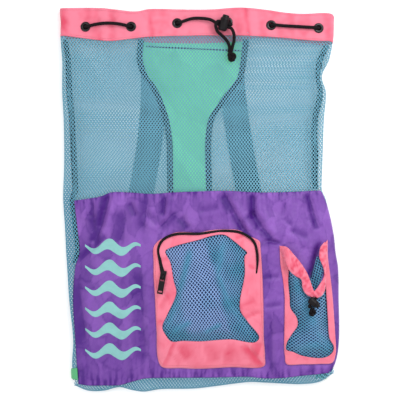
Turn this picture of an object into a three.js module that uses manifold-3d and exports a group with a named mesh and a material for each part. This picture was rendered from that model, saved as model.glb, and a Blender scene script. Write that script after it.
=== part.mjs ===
// Mesh swim backpack, empty, lying on its back with the front up.
// Millimetres. +Z is up from the floor, +Y runs towards the mouth, +X to the bag's right as seen.
import * as THREE from "three";
import { mergeVertices } from "three/addons/utils/BufferGeometryUtils.js";
import Module from "manifold-3d";

const wasm = await Module();
wasm.setup();

// Cloth sizes
const CLOTH = 1.2;
const HEM_CLOTH = 2;
const TAPE = 0.8;
const TAPE_WIDTH = 10;
const GAP = 0.4;
const SEAM_GAP = 1;
const HEM_GAP = 2.2;

// Shape of the lying sack
const FOLD_RADIUS = 7.5;
const BACK_HEIGHT = 2.9;
const STRAP_LIFT = 7.2;
const LIFT_CENTRE = -8;
const LIFT_REACH = 145;
const LIFT_SLOPE = 55;
const LIFT_LOW = -205;
const LIFT_LOW_SLOPE = 60;
const MOUTH_LIFT = { low: 190, top: 255, centre: -3.7, reach: 184, slope: 30 };
const FRONT_LOFT = 24;
const CROWN_POWER = 3;
const BASE_RISE = 130;
const MOUTH_DROP = 150;
const MOUTH_LOFT = 0.45;
const BACK_LOW = -288;
const FLAP_LOW = -299;
const MOUTH_TOP = 317;
const HEM_BACK_LOW = 259;

// Outline of the sack at each height: the two silhouettes and how far in from
// them each side seam lies on the front. A negative flap lies on the underside.
const SIDES = [
  { y: -294, left: -209.6, right: 212, flapLeft: 10, flapRight: -5 },
  { y: -267, left: -210.4, right: 225.2, flapLeft: 8, flapRight: -6 },
  { y: -231, left: -208.7, right: 230.5, flapLeft: 4, flapRight: -6 },
  { y: -165, left: -215.3, right: 230, flapLeft: 7, flapRight: -6 },
  { y: -112, left: -218.6, right: 228.5, flapLeft: 14, flapRight: -6 },
  { y: -86, left: -220.3, right: 224.4, flapLeft: 23, flapRight: -6 },
  { y: -53, left: -221.9, right: 221, flapLeft: 22, flapRight: -6 },
  { y: 0, left: -225.2, right: 208.7, flapLeft: 19, flapRight: 1 },
  { y: 17, left: -225.2, right: 201.3, flapLeft: 19, flapRight: 9 },
  { y: 66, left: -223.6, right: 203, flapLeft: 15.5, flapRight: 11.5 },
  { y: 132, left: -224.4, right: 205.4, flapLeft: 13, flapRight: 14 },
  { y: 178, left: -226.9, right: 208.7, flapLeft: 11.5, flapRight: 8 },
  { y: 205, left: -226.9, right: 202.1, flapLeft: 10, flapRight: 5 },
  { y: 231, left: -226.9, right: 213.7, flapLeft: 9, flapRight: 14 },
  { y: 264, left: -229.4, right: 220.3, flapLeft: 6.6, flapRight: 6.6 },
  { y: 317, left: -231, right: 223.6, flapLeft: 6, flapRight: 6 },
];

// Bottom fold and the lower seam of the front panel
const BASE = [
  { x: -205, fold: -306.9, seam: -302 },
  { x: -184, fold: -315.2, seam: -305.3 },
  { x: -158, fold: -315.2, seam: -305.3 },
  { x: -133, fold: -309.4, seam: -304.9 },
  { x: -111, fold: -314.3, seam: -299 },
  { x: -92, fold: -316.8, seam: -294 },
  { x: -65, fold: -312.7, seam: -292.7 },
  { x: -12, fold: -311.9, seam: -292.4 },
  { x: 27, fold: -307.7, seam: -292 },
  { x: 80, fold: -301.1, seam: -291 },
  { x: 110, fold: -302, seam: -293.7 },
  { x: 141, fold: -303.6, seam: -292.5 },
  { x: 169, fold: -304.4, seam: -289.2 },
  { x: 199, fold: -300.3, seam: -286.3 },
  { x: 220, fold: -287, seam: -283.3 },
];

// Upper seam of the front panel
const PANEL_TOP = [
  { x: -207, y: -2 },
  { x: -177, y: 2.1 },
  { x: -162, y: 5 },
  { x: -145, y: 11.5 },
  { x: -117, y: 11.5 },
  { x: -78, y: 9 },
  { x: -44, y: 11.5 },
  { x: 43, y: 14 },
  { x: 92, y: 11.5 },
  { x: 135, y: 11.7 },
  { x: 202, y: 14.9 },
];

// Edges of the hem on the front
const HEM = [
  { x: -230, top: 316.8, low: 272.3 },
  { x: -191, top: 316.8, low: 266.5 },
  { x: -158, top: 316, low: 262.4 },
  { x: -144, top: 314.3, low: 261.9 },
  { x: -105, top: 310.2, low: 266.1 },
  { x: -82, top: 314.3, low: 268.5 },
  { x: -35, top: 313.5, low: 269.8 },
  { x: 17, top: 313.5, low: 270.6 },
  { x: 67, top: 316.8, low: 270.6 },
  { x: 106, top: 313.5, low: 269 },
  { x: 141, top: 308.6, low: 266.8 },
  { x: 172, top: 306.9, low: 264 },
  { x: 202, top: 308.6, low: 262.4 },
  { x: 224, top: 307.7, low: 263.2 },
];

// Edges of the back yoke: two wings at the top, then a narrow neck
const YOKE = [
  { y: -288, left: -48.4, right: 16.2 },
  { y: 8, left: -48.4, right: 16.2 },
  { y: 66, left: -49.1, right: 14.5 },
  { y: 99, left: -50, right: 14.6 },
  { y: 132, left: -55.2, right: 19.2 },
  { y: 148, left: -60, right: 28 },
  { y: 173, left: -69.4, right: 44.3 },
  { y: 190, left: -79, right: 59.2 },
  { y: 205, left: -90.5, right: 68.2 },
  { y: 231, left: -98.6, right: 72.9 },
  { y: 259, left: -97.6, right: 76.6 },
];

// Main folds of the front panel, each a ridge or valley between two ends
const FOLDS = [
  { fromX: -149, fromY: 4, toX: -172, toY: -69, width: 9, height: -4 },
  { fromX: -138, fromY: 0, toX: -152, toY: -60, width: 9, height: 3 },
  { fromX: -176, fromY: -2, toX: -174, toY: -53, width: 8, height: -2.5 },
  { fromX: -56, fromY: 5, toX: -60, toY: -26, width: 7, height: -2.5 },
  { fromX: 42, fromY: 6, toX: 76, toY: -46, width: 8, height: -3.5 },
  { fromX: 88, fromY: 5, toX: 118, toY: -62, width: 9, height: -4 },
  { fromX: 104, fromY: 4, toX: 128, toY: -50, width: 8, height: 2.5 },
  { fromX: 179, fromY: 8, toX: 193, toY: -44, width: 7, height: -3 },
  { fromX: -95, fromY: -150, toX: -93, toY: -262, width: 9, height: -2.5 },
];

// Eyelets of the hem, on the front and on the back
const EYELETS = [
  { x: -187.7, y: 285.5, backX: -180 },
  { x: -112.5, y: 285.2, backX: -108 },
  { x: -36.7, y: 290.7, backX: -36 },
  { x: 46.2, y: 292.5, backX: 36 },
  { x: 117.8, y: 287.5, backX: 108 },
  { x: 196.2, y: 283.5, backX: 172 },
];
const EYELET_HOLE = 4.9;
const EYELET_PROFILE = [
  { radius: 4, height: -1.2 },
  { radius: 4.5, height: -1.2 },
  { radius: 4.5, height: 1.6 },
  { radius: 8, height: 1.6 },
  { radius: 7.5, height: 2.5 },
  { radius: 4, height: 2.5 },
];
const EYELET_SIDES = 10;

// Cords and their locks
const CORD_RADIUS = 2.1;
const CORD_SIDES = 6;
const CORD_OUTSIDE = 5.3;
const CORD_INSIDE = -3.6;
const KNOT = { x: 52.6, y: 236, across: 6.5, along: 8, high: 5.5 };
const LOCK = { x: 39.6, y: 288.2, turn: -16, rise: 11.2, radius: 7.5, half: 11, cap: 5.6 };
const LOCK_SLOT = { along: 10.6, high: 5.6, middle: -0.3 };
const LOCK_BORE = 5.6;
const POCKET_LOCK = { x: 185.6, y: -166.8, turn: -130, rise: 27.8, radius: 6.2, half: 8, cap: 3.8 };
const POCKET_SLOT = { along: 4.6, high: 4.6, middle: -1 };
const POCKET_BORE = 4.2;
const POCKET_CORD_RADIUS = 1.6;
const POCKET_KNOT = { x: 184.4, y: -183, across: 5.4, along: 5.8, high: 4.5 };

// Zip pocket: sewn outer edge and free inner edge of the gusset, then its net face
const ZIP_GUSSET = [
  { x: -61.9, y: -274.9, inX: -46, inY: -226 },
  { x: -69, y: -262, inX: -52, inY: -214 },
  { x: -71, y: -216, inX: -46, inY: -190 },
  { x: -73, y: -158, inX: -33, inY: -150 },
  { x: -75.4, y: -85, inX: -40, inY: -105 },
  { x: -66, y: -67, inX: -44, inY: -88 },
  { x: -40, y: -54, inX: -28, inY: -78 },
  { x: 1, y: -53.5, inX: 0, inY: -72 },
  { x: 40.4, y: -48.5, inX: 36, inY: -64 },
  { x: 65, y: -50.5, inX: 54, inY: -74 },
  { x: 97, y: -67, inX: 70, inY: -92 },
  { x: 101.5, y: -107, inX: 68, inY: -115 },
  { x: 104, y: -190, inX: 60, inY: -175 },
  { x: 106.4, y: -259, inX: 84, inY: -218 },
  { x: 104, y: -273, inX: 76, inY: -226 },
  { x: 30, y: -276.5, inX: 25, inY: -226 },
];
const GUSSET_LOW = 2.4;
const GUSSET_HIGH = 8;
const ZIP_NET = [
  { y: -231, left: -46, right: 92 },
  { y: -207, left: -61, right: 84 },
  { y: -182, left: -50, right: 64 },
  { y: -148, left: -37, right: 71.6 },
  { y: -110, left: -46, right: 74 },
  { y: -86, left: -55, right: 78 },
  { y: -66, left: -22, right: 56 },
];
const ZIP_NET_HEIGHT = 10.5;
const ZIP_NET_BULGE = 7;
const ZIP_PATH = [
  { x: -61.5, y: -112.5 },
  { x: -64.5, y: -99.7 },
  { x: -67.6, y: -82.5 },
  { x: -65, y: -72.6 },
  { x: -57.8, y: -63.5 },
  { x: -39.3, y: -56 },
  { x: 1, y: -55 },
  { x: 40.4, y: -50.5 },
  { x: 66, y: -53 },
  { x: 81.7, y: -61 },
  { x: 90, y: -70 },
  { x: 94.2, y: -86 },
  { x: 94.9, y: -103 },
  { x: 93.2, y: -120 },
];
const ZIP_WIDTH = 5;
const ZIP_THICK = 2;
const ZIP_HEIGHT = 6.2;
const SLIDER = { x: -59.5, y: -123, turn: -10, rise: 8.8 };
const SLIDER_BODY = { wide: 10, long: 15, high: 4.4 };
const BRIDGE = { y: -3, wide: 4, long: 9, high: 4.6, tunnelLong: 4.4, tunnelHigh: 2.8 };
const PULL = {
  wide: 9.6,
  long: 29,
  thick: 1.4,
  eyeWide: 5.6,
  eyeLong: 5.4,
  bar: 2,
  slotWide: 5.5,
  slotLong: 2.4,
};

// Side pocket: edge strips, net pouch and cinch channel
const SIDE_STRIPS = [
  { x: 131.5, y: -75, inX: 135, inY: -80 },
  { x: 133, y: -106, inX: 146, inY: -112 },
  { x: 137, y: -131, inX: 146, inY: -131 },
  { x: 139.8, y: -161, inX: 149, inY: -160 },
  { x: 139.4, y: -223, inX: 150, inY: -220 },
  { x: 140, y: -250, inX: 152, inY: -240 },
  { x: 144, y: -270.5, inX: 158, inY: -250 },
  { x: 170, y: -271, inX: 172, inY: -252 },
  { x: 198, y: -270.5, inX: 196, inY: -252 },
  { x: 214, y: -266, inX: 206, inY: -248 },
  { x: 220, y: -246, inX: 210, inY: -238 },
  { x: 221, y: -194, inX: 210, inY: -194 },
  { x: 219.6, y: -161, inX: 208.5, inY: -160 },
  { x: 215.3, y: -124, inX: 206, inY: -126 },
  { x: 211.5, y: -94, inX: 204, inY: -98 },
  { x: 211, y: -66, inX: 206, inY: -72 },
];
const STRIP_LOW = 2.6;
const STRIP_HIGH = 4.4;
const POUCH_SIDES = [
  { part: 0, left: 142, right: 219 },
  { part: 0.25, left: 151, right: 215 },
  { part: 0.5, left: 160, right: 212 },
  { part: 0.75, left: 150, right: 210 },
  { part: 1, left: 146, right: 207 },
];
const POUCH_ENDS = [
  { part: 0, low: -248, top: -116 },
  { part: 0.3, low: -256, top: -136 },
  { part: 0.55, low: -259, top: -156 },
  { part: 0.75, low: -260, top: -158 },
  { part: 1, low: -252, top: -139 },
];
const POUCH_HEIGHT = 7.4;
const POUCH_BULGE = 11;
const RIM = [
  { x: 133, y: -76, lowX: 134, lowY: -82 },
  { x: 143, y: -77, lowX: 140, lowY: -100 },
  { x: 154, y: -89, lowX: 147, lowY: -114 },
  { x: 165, y: -102, lowX: 157, lowY: -124 },
  { x: 176, y: -119, lowX: 167, lowY: -131 },
  { x: 181, y: -133, lowX: 170, lowY: -144 },
  { x: 185, y: -144, lowX: 175, lowY: -153 },
  { x: 188, y: -148, lowX: 184, lowY: -159 },
  { x: 192, y: -147, lowX: 194, lowY: -160 },
  { x: 198, y: -136, lowX: 201, lowY: -156 },
  { x: 201, y: -122, lowX: 206, lowY: -146 },
  { x: 201, y: -105, lowX: 207, lowY: -125 },
  { x: 200, y: -88, lowX: 208, lowY: -100 },
  { x: 203, y: -74, lowX: 209, lowY: -76 },
];
const RIM_CLOTH = 2.4;
const RIM_HEIGHT = 11;
const RIM_ARCH = 12;

// Shoulder straps underneath, from the yoke down to the bottom corners
const STRAP_THICK = 7;
const STRAP_TOP = 257;
const STRAP_LOW = -130;
const STRAP_HALF = 21;
const STRAP_END_HALF = 14;
const STRAP_TAPER = 40;
const STRAPS = [
  { y: -130, left: -121, right: 106 },
  { y: 13, left: -96.5, right: 81.7 },
  { y: 90, left: -83.5, right: 68 },
  { y: 165, left: -76.7, right: 57 },
  { y: 257, left: -76.7, right: 50 },
];
const WEBBING_WIDTH = 25;
const WEBBING_THICK = 1.5;
const ADJUSTER = { wide: 34, long: 22, thick: 3, slotWide: 26, slotLong: 4.5, slotApart: 10 };
const ADJUSTER_Y = -150;
const WEBBING_END = { left: -186, right: 187, y: -276 };
const TAB_LOW = -297;
const TAB_TOP = -277;
const TAB_LIFT = 2.1;
const TAB_UNDER = 12;

// Colours
const NET_BLUE = new THREE.MeshStandardMaterial({ color: 0x84b4c9, roughness: 0.8 });
const PURPLE = new THREE.MeshStandardMaterial({ color: 0x8a5bb0, roughness: 0.5 });
const PINK = new THREE.MeshStandardMaterial({ color: 0xfb8da2, roughness: 0.7 });
const MINT = new THREE.MeshStandardMaterial({ color: 0x73c4b7, roughness: 0.7 });
const GREEN = new THREE.MeshStandardMaterial({ color: 0x60b480, roughness: 0.8 });
const BLACK = new THREE.MeshStandardMaterial({ color: 0x1b181a, roughness: 0.6 });
const STRAP_BLUE = new THREE.MeshStandardMaterial({ color: 0x4f7f95, roughness: 0.8 });

const { lerp, smoothstep, degToRad } = THREE.MathUtils;

// A smooth curve through two columns of a table
function tableCurve(rows, key, value) {
  const keys = rows.map((row) => row[key]);
  const values = rows.map((row) => row[value]);
  const curve = new THREE.CubicInterpolant(keys, values, 1);
  return (at) => curve.evaluate(at)[0];
}

const leftAt = tableCurve(SIDES, "y", "left");
const rightAt = tableCurve(SIDES, "y", "right");
const flapLeftAt = tableCurve(SIDES, "y", "flapLeft");
const flapRightAt = tableCurve(SIDES, "y", "flapRight");
const baseFoldAt = tableCurve(BASE, "x", "fold");
const baseSeamAt = tableCurve(BASE, "x", "seam");
const panelTopAt = tableCurve(PANEL_TOP, "x", "y");
const hemTopAt = tableCurve(HEM, "x", "top");
const hemLowAt = tableCurve(HEM, "x", "low");
const yokeLeftAt = tableCurve(YOKE, "y", "left");
const yokeRightAt = tableCurve(YOKE, "y", "right");

function foldHeight(x, y) {
  let height = 0;
  for (const fold of FOLDS) {
    const alongX = fold.toX - fold.fromX;
    const alongY = fold.toY - fold.fromY;
    const length = Math.hypot(alongX, alongY);
    const part = ((x - fold.fromX) * alongX + (y - fold.fromY) * alongY) / length ** 2;
    const off = ((x - fold.fromX) * alongY - (y - fold.fromY) * alongX) / length;
    const fade = smoothstep(part, -0.1, 0.15) * (1 - smoothstep(part, 0.7, 1.15));
    height += fold.height * fade * Math.exp(-((off / fold.width) ** 2));
  }
  return height;
}

// Middle of the front wall above the floor
function frontHeight(x, y) {
  const foldLeft = leftAt(y) + FOLD_RADIUS;
  const foldRight = rightAt(y) - FOLD_RADIUS;
  const past = Math.max(foldLeft - x, x - foldRight, 0);
  const drop = FOLD_RADIUS - Math.sqrt(Math.max(FOLD_RADIUS ** 2 - past ** 2, 0));
  const middle = (foldLeft + foldRight) / 2;
  const across = Math.min(Math.abs(x - middle) / (foldRight - middle), 1);
  const crown = 1 - across ** CROWN_POWER;
  const aboveBase = smoothstep(y - baseFoldAt(x) - FOLD_RADIUS, 0, BASE_RISE);
  const belowMouth = lerp(MOUTH_LOFT, 1, smoothstep(MOUTH_TOP - y, 0, MOUTH_DROP));
  const loft = FRONT_LOFT * crown * aboveBase * belowMouth;
  return BACK_HEIGHT + 2 * FOLD_RADIUS - drop + loft + foldHeight(x, y) * crown;
}

// Middle of the back wall above the floor, raised where it lies over the straps
function backHeight(x, y) {
  const mouth = smoothstep(y, MOUTH_LIFT.low, MOUTH_LIFT.top);
  const off = Math.abs(x - lerp(LIFT_CENTRE, MOUTH_LIFT.centre, mouth));
  const reach = lerp(LIFT_REACH, MOUTH_LIFT.reach, mouth);
  const slope = lerp(LIFT_SLOPE, MOUTH_LIFT.slope, mouth);
  const across = 1 - smoothstep(off, reach, reach + slope);
  const along = smoothstep(y, LIFT_LOW, LIFT_LOW + LIFT_LOW_SLOPE);
  return BACK_HEIGHT + STRAP_LIFT * across * along;
}

// A point of the sack, by its distance round the girth from the left fold's top line
function sackPoint(round, y) {
  const foldLeft = leftAt(y) + FOLD_RADIUS;
  const foldRight = rightAt(y) - FOLD_RADIUS;
  const front = foldRight - foldLeft;
  const bend = Math.PI * FOLD_RADIUS;
  const girth = 2 * front + 2 * bend;
  const at = ((round % girth) + girth) % girth;
  const axis = BACK_HEIGHT + FOLD_RADIUS;
  if (at <= front) {
    return new THREE.Vector3(foldLeft + at, y, frontHeight(foldLeft + at, y));
  }
  if (at < front + bend) {
    const angle = (at - front) / FOLD_RADIUS;
    return new THREE.Vector3(
      foldRight + FOLD_RADIUS * Math.sin(angle),
      y,
      axis + FOLD_RADIUS * Math.cos(angle),
    );
  }
  if (at <= 2 * front + bend) {
    const x = foldRight - (at - front - bend);
    return new THREE.Vector3(x, y, backHeight(x, y));
  }
  const angle = (at - 2 * front - bend) / FOLD_RADIUS;
  return new THREE.Vector3(
    foldLeft - FOLD_RADIUS * Math.sin(angle),
    y,
    axis - FOLD_RADIUS * Math.cos(angle),
  );
}

// How far round the fold a seam lies, from its flap as seen in plan
function flapTurn(flap) {
  if (flap >= FOLD_RADIUS) {
    return FOLD_RADIUS - flap;
  }
  const angle = Math.asin((FOLD_RADIUS - Math.abs(flap)) / FOLD_RADIUS);
  return FOLD_RADIUS * (flap >= 0 ? angle : Math.PI - angle);
}

function frontSpan(y) {
  return rightAt(y) - leftAt(y) - 2 * FOLD_RADIUS;
}

function girthAt(y) {
  return 2 * frontSpan(y) + 2 * Math.PI * FOLD_RADIUS;
}

function leftSeam(y) {
  return -flapTurn(flapLeftAt(y));
}

function rightSeam(y) {
  return frontSpan(y) + flapTurn(flapRightAt(y));
}

// Distance round the girth, leftwards, of a place on the back wall
function backRound(x, y) {
  return -Math.PI * FOLD_RADIUS - (x - leftAt(y) - FOLD_RADIUS);
}

// A cloth wall: a flat block bent so that its middle follows a surface
function wall(columns, rows, thick, place, lift = 0) {
  const block = new THREE.BoxGeometry(1, 1, 1, columns, rows, 1);
  const spots = block.getAttribute("position");
  const step = 0.002;
  for (let i = 0; i < spots.count; i += 1) {
    const u = spots.getX(i) + 0.5;
    const v = spots.getY(i) + 0.5;
    const along = place(Math.min(u + step, 1), v).sub(place(Math.max(u - step, 0), v));
    const up = place(u, Math.min(v + step, 1)).sub(place(u, Math.max(v - step, 0)));
    const out = along.cross(up).normalize();
    const spot = place(u, v).addScaledVector(out, lift + thick * spots.getZ(i));
    spots.setXYZ(i, spot.x, spot.y, spot.z);
  }
  return block;
}

// A closed band: a ring whose section runs through the given corners
function band(steps, corners, place) {
  const ring = new THREE.TorusGeometry(2, 1, corners.length, steps);
  const spots = ring.getAttribute("position");
  const turns = ring.getAttribute("uv");
  for (let i = 0; i < spots.count; i += 1) {
    const step = Math.round(turns.getX(i) * steps) % steps;
    const corner = corners[Math.round(turns.getY(i) * corners.length) % corners.length];
    const spot = place(step, corner);
    spots.setXYZ(i, spot.x, spot.y, spot.z);
  }
  return ring;
}

// A round cord through a list of points
function cord(points, radius, sides, ringsPerPoint) {
  const curve = new THREE.CatmullRomCurve3(points, false, "centripetal");
  const rings = (points.length - 1) * ringsPerPoint;
  const tube = new THREE.CylinderGeometry(1, 1, 1, sides, rings);
  const frames = [];
  let side = new THREE.Vector3(0, 0, 1);
  for (let ring = 0; ring <= rings; ring += 1) {
    const tangent = curve.getTangent(ring / rings);
    side = side.clone().addScaledVector(tangent, -side.dot(tangent)).normalize();
    const other = side.clone().cross(tangent);
    frames.push({ spot: curve.getPoint(ring / rings), side, other });
  }
  const spots = tube.getAttribute("position");
  for (let i = 0; i < spots.count; i += 1) {
    const frame = frames[Math.round((spots.getY(i) + 0.5) * rings)];
    const spot = frame.spot.clone();
    spot.addScaledVector(frame.side, radius * spots.getX(i));
    spot.addScaledVector(frame.other, radius * spots.getZ(i));
    spots.setXYZ(i, spot.x, spot.y, spot.z);
  }
  return tube;
}

function toSolid(geometry) {
  const bare = geometry.clone();
  bare.deleteAttribute("normal");
  bare.deleteAttribute("uv");
  const merged = mergeVertices(bare, 1e-4);
  return new wasm.Manifold(new wasm.Mesh({
    numProp: 3,
    vertProperties: new Float32Array(merged.getAttribute("position").array),
    triVerts: new Uint32Array(merged.getIndex().array),
  }));
}

function fromSolid(solid) {
  const mesh = solid.getMesh();
  const geometry = new THREE.BufferGeometry();
  geometry.setAttribute("position", new THREE.BufferAttribute(mesh.vertProperties, 3));
  geometry.setIndex(new THREE.BufferAttribute(mesh.triVerts, 1));
  return geometry;
}

const bag = new THREE.Group();
bag.name = "mesh_swim_backpack";

function addPiece(name, geometry, material) {
  const mesh = new THREE.Mesh(geometry, material);
  mesh.name = name;
  bag.add(mesh);
  return mesh;
}

// Lower edge of the hem and lower end of the side net, round the fold
function hemLow(x, turned) {
  return lerp(hemLowAt(x), HEM_BACK_LOW, turned);
}

function foldTurned(outward) {
  return THREE.MathUtils.clamp(outward / (Math.PI * FOLD_RADIUS), 0, 1);
}

// Front wall
// Its upper and lower edges depend on the place across, so the point is found in a few tries.
function settle(startX, pointAt) {
  let spot = pointAt(startX);
  for (let tries = 0; tries < 4; tries += 1) {
    spot = pointAt(spot.x);
  }
  return spot;
}

function frontMeshPoint(u, v) {
  return settle(lerp(-212, 200, u), (x) => {
    const y = lerp(panelTopAt(x) + SEAM_GAP, hemLowAt(x) - HEM_GAP, v);
    return sackPoint(lerp(leftSeam(y) + SEAM_GAP, rightSeam(y) - SEAM_GAP, u), y);
  });
}

const PANEL_COLUMNS = 24;
const PANEL_FOLD_COLUMNS = 4;

function frontPanelPoint(u, v) {
  const split = 1 - PANEL_FOLD_COLUMNS / PANEL_COLUMNS;
  return settle(lerp(-206, 219, u), (x) => {
    const y = lerp(baseSeamAt(x) + SEAM_GAP, panelTopAt(x) - SEAM_GAP, v);
    const end = rightSeam(y) - SEAM_GAP;
    const turn = Math.min(frontSpan(y), end - 6);
    if (u < split) {
      return sackPoint(lerp(leftSeam(y) + SEAM_GAP, turn, u / split), y);
    }
    return sackPoint(lerp(turn, end, (u - split) / (1 - split)), y);
  });
}

// The front wall is in simple pieces that meet along straight cuts
const CUT_AXES = { x: [1, 0, 0], y: [0, 1, 0], z: [0, 0, 1] };
const CUT_LEFT = -126;
const CUT_RIGHT = 121;
const CUT_LOW = -196;

function onSide(solid, axis, place, side) {
  const normal = CUT_AXES[axis].map((value) => value * side);
  return solid.trimByPlane(normal, place * side);
}

function addThirds(name, solid, material) {
  const rest = onSide(solid, "x", CUT_LEFT, 1);
  addPiece(`${name}_left`, fromSolid(onSide(solid, "x", CUT_LEFT, -1)), material);
  addPiece(`${name}_middle`, fromSolid(onSide(rest, "x", CUT_RIGHT, -1)), material);
  addPiece(`${name}_right`, fromSolid(onSide(rest, "x", CUT_RIGHT, 1)), material);
}

const frontPanel = toSolid(wall(PANEL_COLUMNS, 12, CLOTH, frontPanelPoint));
addThirds("front_mesh", toSolid(wall(16, 6, CLOTH, frontMeshPoint)), NET_BLUE);
addThirds("panel_upper", onSide(frontPanel, "y", CUT_LOW, 1), PURPLE);
addThirds("panel_lower", onSide(frontPanel, "y", CUT_LOW, -1), PURPLE);

// Back wall: net on both sides of the yoke, carried round the folds to the side seams
function sidePoint(v, foldX, roundAt, outwardAt) {
  let y = lerp(BACK_LOW, HEM_BACK_LOW, v);
  for (let tries = 0; tries < 4; tries += 1) {
    const turned = foldTurned(outwardAt(roundAt(y), y));
    y = lerp(lerp(FLAP_LOW, BACK_LOW, turned), hemLow(foldX, turned) - HEM_GAP, v);
  }
  return sackPoint(roundAt(y), y);
}

function backLeftPoint(u, v) {
  const turn = -Math.PI * FOLD_RADIUS;
  const roundAt = (y) => {
    const inner = backRound(yokeLeftAt(y) - GAP, y);
    const outer = leftSeam(y) - SEAM_GAP;
    return u < 0.5 ? lerp(inner, turn, 2 * u) : lerp(turn, outer, 2 * u - 1);
  };
  return sidePoint(v, -228, roundAt, (round) => -round);
}

function backRightPoint(u, v) {
  const roundAt = (y) => {
    const outer = rightSeam(y) + 2 * SEAM_GAP - girthAt(y);
    const turn = Math.max(backRound(rightAt(y) - FOLD_RADIUS, y), outer + 5);
    const inner = backRound(yokeRightAt(y) + GAP, y);
    return u < 0.5 ? lerp(outer, turn, 2 * u) : lerp(turn, inner, 2 * u - 1);
  };
  return sidePoint(v, 222, roundAt, (round, y) => round + girthAt(y) - frontSpan(y));
}

function yokePoint(u, v) {
  const y = lerp(BACK_LOW, HEM_BACK_LOW - HEM_GAP, v);
  return sackPoint(lerp(backRound(yokeRightAt(y), y), backRound(yokeLeftAt(y), y), u), y);
}

addPiece("back_mesh_left", wall(10, 14, CLOTH, backLeftPoint), NET_BLUE);
addPiece("back_yoke", wall(4, 14, CLOTH, yokePoint), MINT);
addPiece("back_mesh_right", wall(10, 14, CLOTH, backRightPoint), NET_BLUE);

// Net round the bottom fold
function basePoint(u, v) {
  const x = lerp(-201, 204, u);
  const top = baseFoldAt(x) + FOLD_RADIUS;
  const bend = Math.PI * FOLD_RADIUS;
  const start = flapTurn(baseSeamAt(x) - SEAM_GAP - baseFoldAt(x));
  const end = bend + Math.max(BACK_LOW - SEAM_GAP - top, 0.5);
  const outward = lerp(end, start, v);
  if (outward < 0) {
    return new THREE.Vector3(x, top - outward, frontHeight(x, top - outward));
  }
  if (outward > bend) {
    return new THREE.Vector3(x, top + outward - bend, BACK_HEIGHT);
  }
  const angle = outward / FOLD_RADIUS;
  return new THREE.Vector3(
    x,
    top - FOLD_RADIUS * Math.sin(angle),
    BACK_HEIGHT + FOLD_RADIUS + FOLD_RADIUS * Math.cos(angle),
  );
}

addPiece("base_mesh", wall(20, 5, CLOTH, basePoint), NET_BLUE);

// Black tapes along the seams, inside the sack
const TAPE_INSET = -2.4;
const SIDE_TAPE_LOW = -104;

function tapeAlong(low, top, roundAt) {
  return wall(1, 14, TAPE, (u, v) => {
    const y = lerp(low, top, v);
    return sackPoint(roundAt(y) + (u - 0.5) * TAPE_WIDTH, y);
  }, TAPE_INSET);
}

addPiece("side_binding_left", tapeAlong(SIDE_TAPE_LOW, 258, leftSeam), BLACK);
addPiece("side_binding_right", tapeAlong(18, 256, rightSeam), BLACK);
addPiece(
  "yoke_binding_left",
  tapeAlong(BACK_LOW + 4, HEM_BACK_LOW - 4, (y) => backRound(yokeLeftAt(y), y)),
  BLACK,
);
addPiece(
  "yoke_binding_right",
  tapeAlong(BACK_LOW + 4, HEM_BACK_LOW - 4, (y) => backRound(yokeRightAt(y), y)),
  BLACK,
);

// Hem: one loop round the mouth, pierced for the eyelets
const HEM_RUN_STEPS = 14;
const HEM_FOLD_STEPS = 4;
const HEM_STEPS = 2 * (HEM_RUN_STEPS + HEM_FOLD_STEPS);
const HEM_CORNERS = [
  { part: 0, side: 0.5 },
  { part: 0.5, side: 0.5 },
  { part: 1, side: 0.5 },
  { part: 1, side: -0.5 },
  { part: 0.5, side: -0.5 },
  { part: 0, side: -0.5 },
];

function hemRound(step, y) {
  const front = frontSpan(y);
  const bend = Math.PI * FOLD_RADIUS;
  const half = HEM_RUN_STEPS + HEM_FOLD_STEPS;
  const within = step % half;
  const start = step < half ? 0 : front + bend;
  if (within <= HEM_RUN_STEPS) {
    return start + (front * within) / HEM_RUN_STEPS;
  }
  return start + front + (bend * (within - HEM_RUN_STEPS)) / HEM_FOLD_STEPS;
}

function hemTurned(step) {
  const half = HEM_RUN_STEPS + HEM_FOLD_STEPS;
  const within = step % half;
  const fold = Math.max(within - HEM_RUN_STEPS, 0) / HEM_FOLD_STEPS;
  return step < half ? fold : 1 - fold;
}

function hemSpot(step, part) {
  const middle = sackPoint(hemRound(step, 290), 290);
  const y = lerp(hemLow(middle.x, hemTurned(step)), hemTopAt(middle.x), part);
  return sackPoint(hemRound(step, y), y);
}

function hemPoint(step, corner) {
  const before = hemSpot((step + HEM_STEPS - 1) % HEM_STEPS, corner.part);
  const after = hemSpot((step + 1) % HEM_STEPS, corner.part);
  const along = after.sub(before).normalize();
  const out = new THREE.Vector3(-along.z, 0, along.x);
  return hemSpot(step, corner.part).addScaledVector(out, corner.side * HEM_CLOTH);
}

// Eyelets sit on the local slope of the hem, front and back
function eyeletFrame(eyelet, onBack) {
  const height = onBack ? backHeight : frontHeight;
  const x = onBack ? eyelet.backX : eyelet.x;
  const reach = 8;
  const slopeX = (height(x + reach, eyelet.y) - height(x - reach, eyelet.y)) / (2 * reach);
  const slopeY = (height(x, eyelet.y + reach) - height(x, eyelet.y - reach)) / (2 * reach);
  const axis = new THREE.Vector3(-slopeX, -slopeY, 1).normalize();
  const spot = new THREE.Vector3(x, eyelet.y, height(x, eyelet.y));
  return { spot, axis: onBack ? axis.negate() : axis };
}

function standOn(geometry, frame) {
  const up = new THREE.Vector3(0, 1, 0);
  geometry.applyQuaternion(new THREE.Quaternion().setFromUnitVectors(up, frame.axis));
  geometry.translate(frame.spot.x, frame.spot.y, frame.spot.z);
  return geometry;
}

const frontFrames = EYELETS.map((eyelet) => eyeletFrame(eyelet, false));
const backFrames = EYELETS.map((eyelet) => eyeletFrame(eyelet, true));

let hem = toSolid(band(HEM_STEPS, HEM_CORNERS, hemPoint));
for (const frame of [...frontFrames, ...backFrames]) {
  const drill = new THREE.CylinderGeometry(EYELET_HOLE, EYELET_HOLE, 6, EYELET_SIDES);
  hem = hem.subtract(toSolid(standOn(drill, frame)));
}

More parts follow.
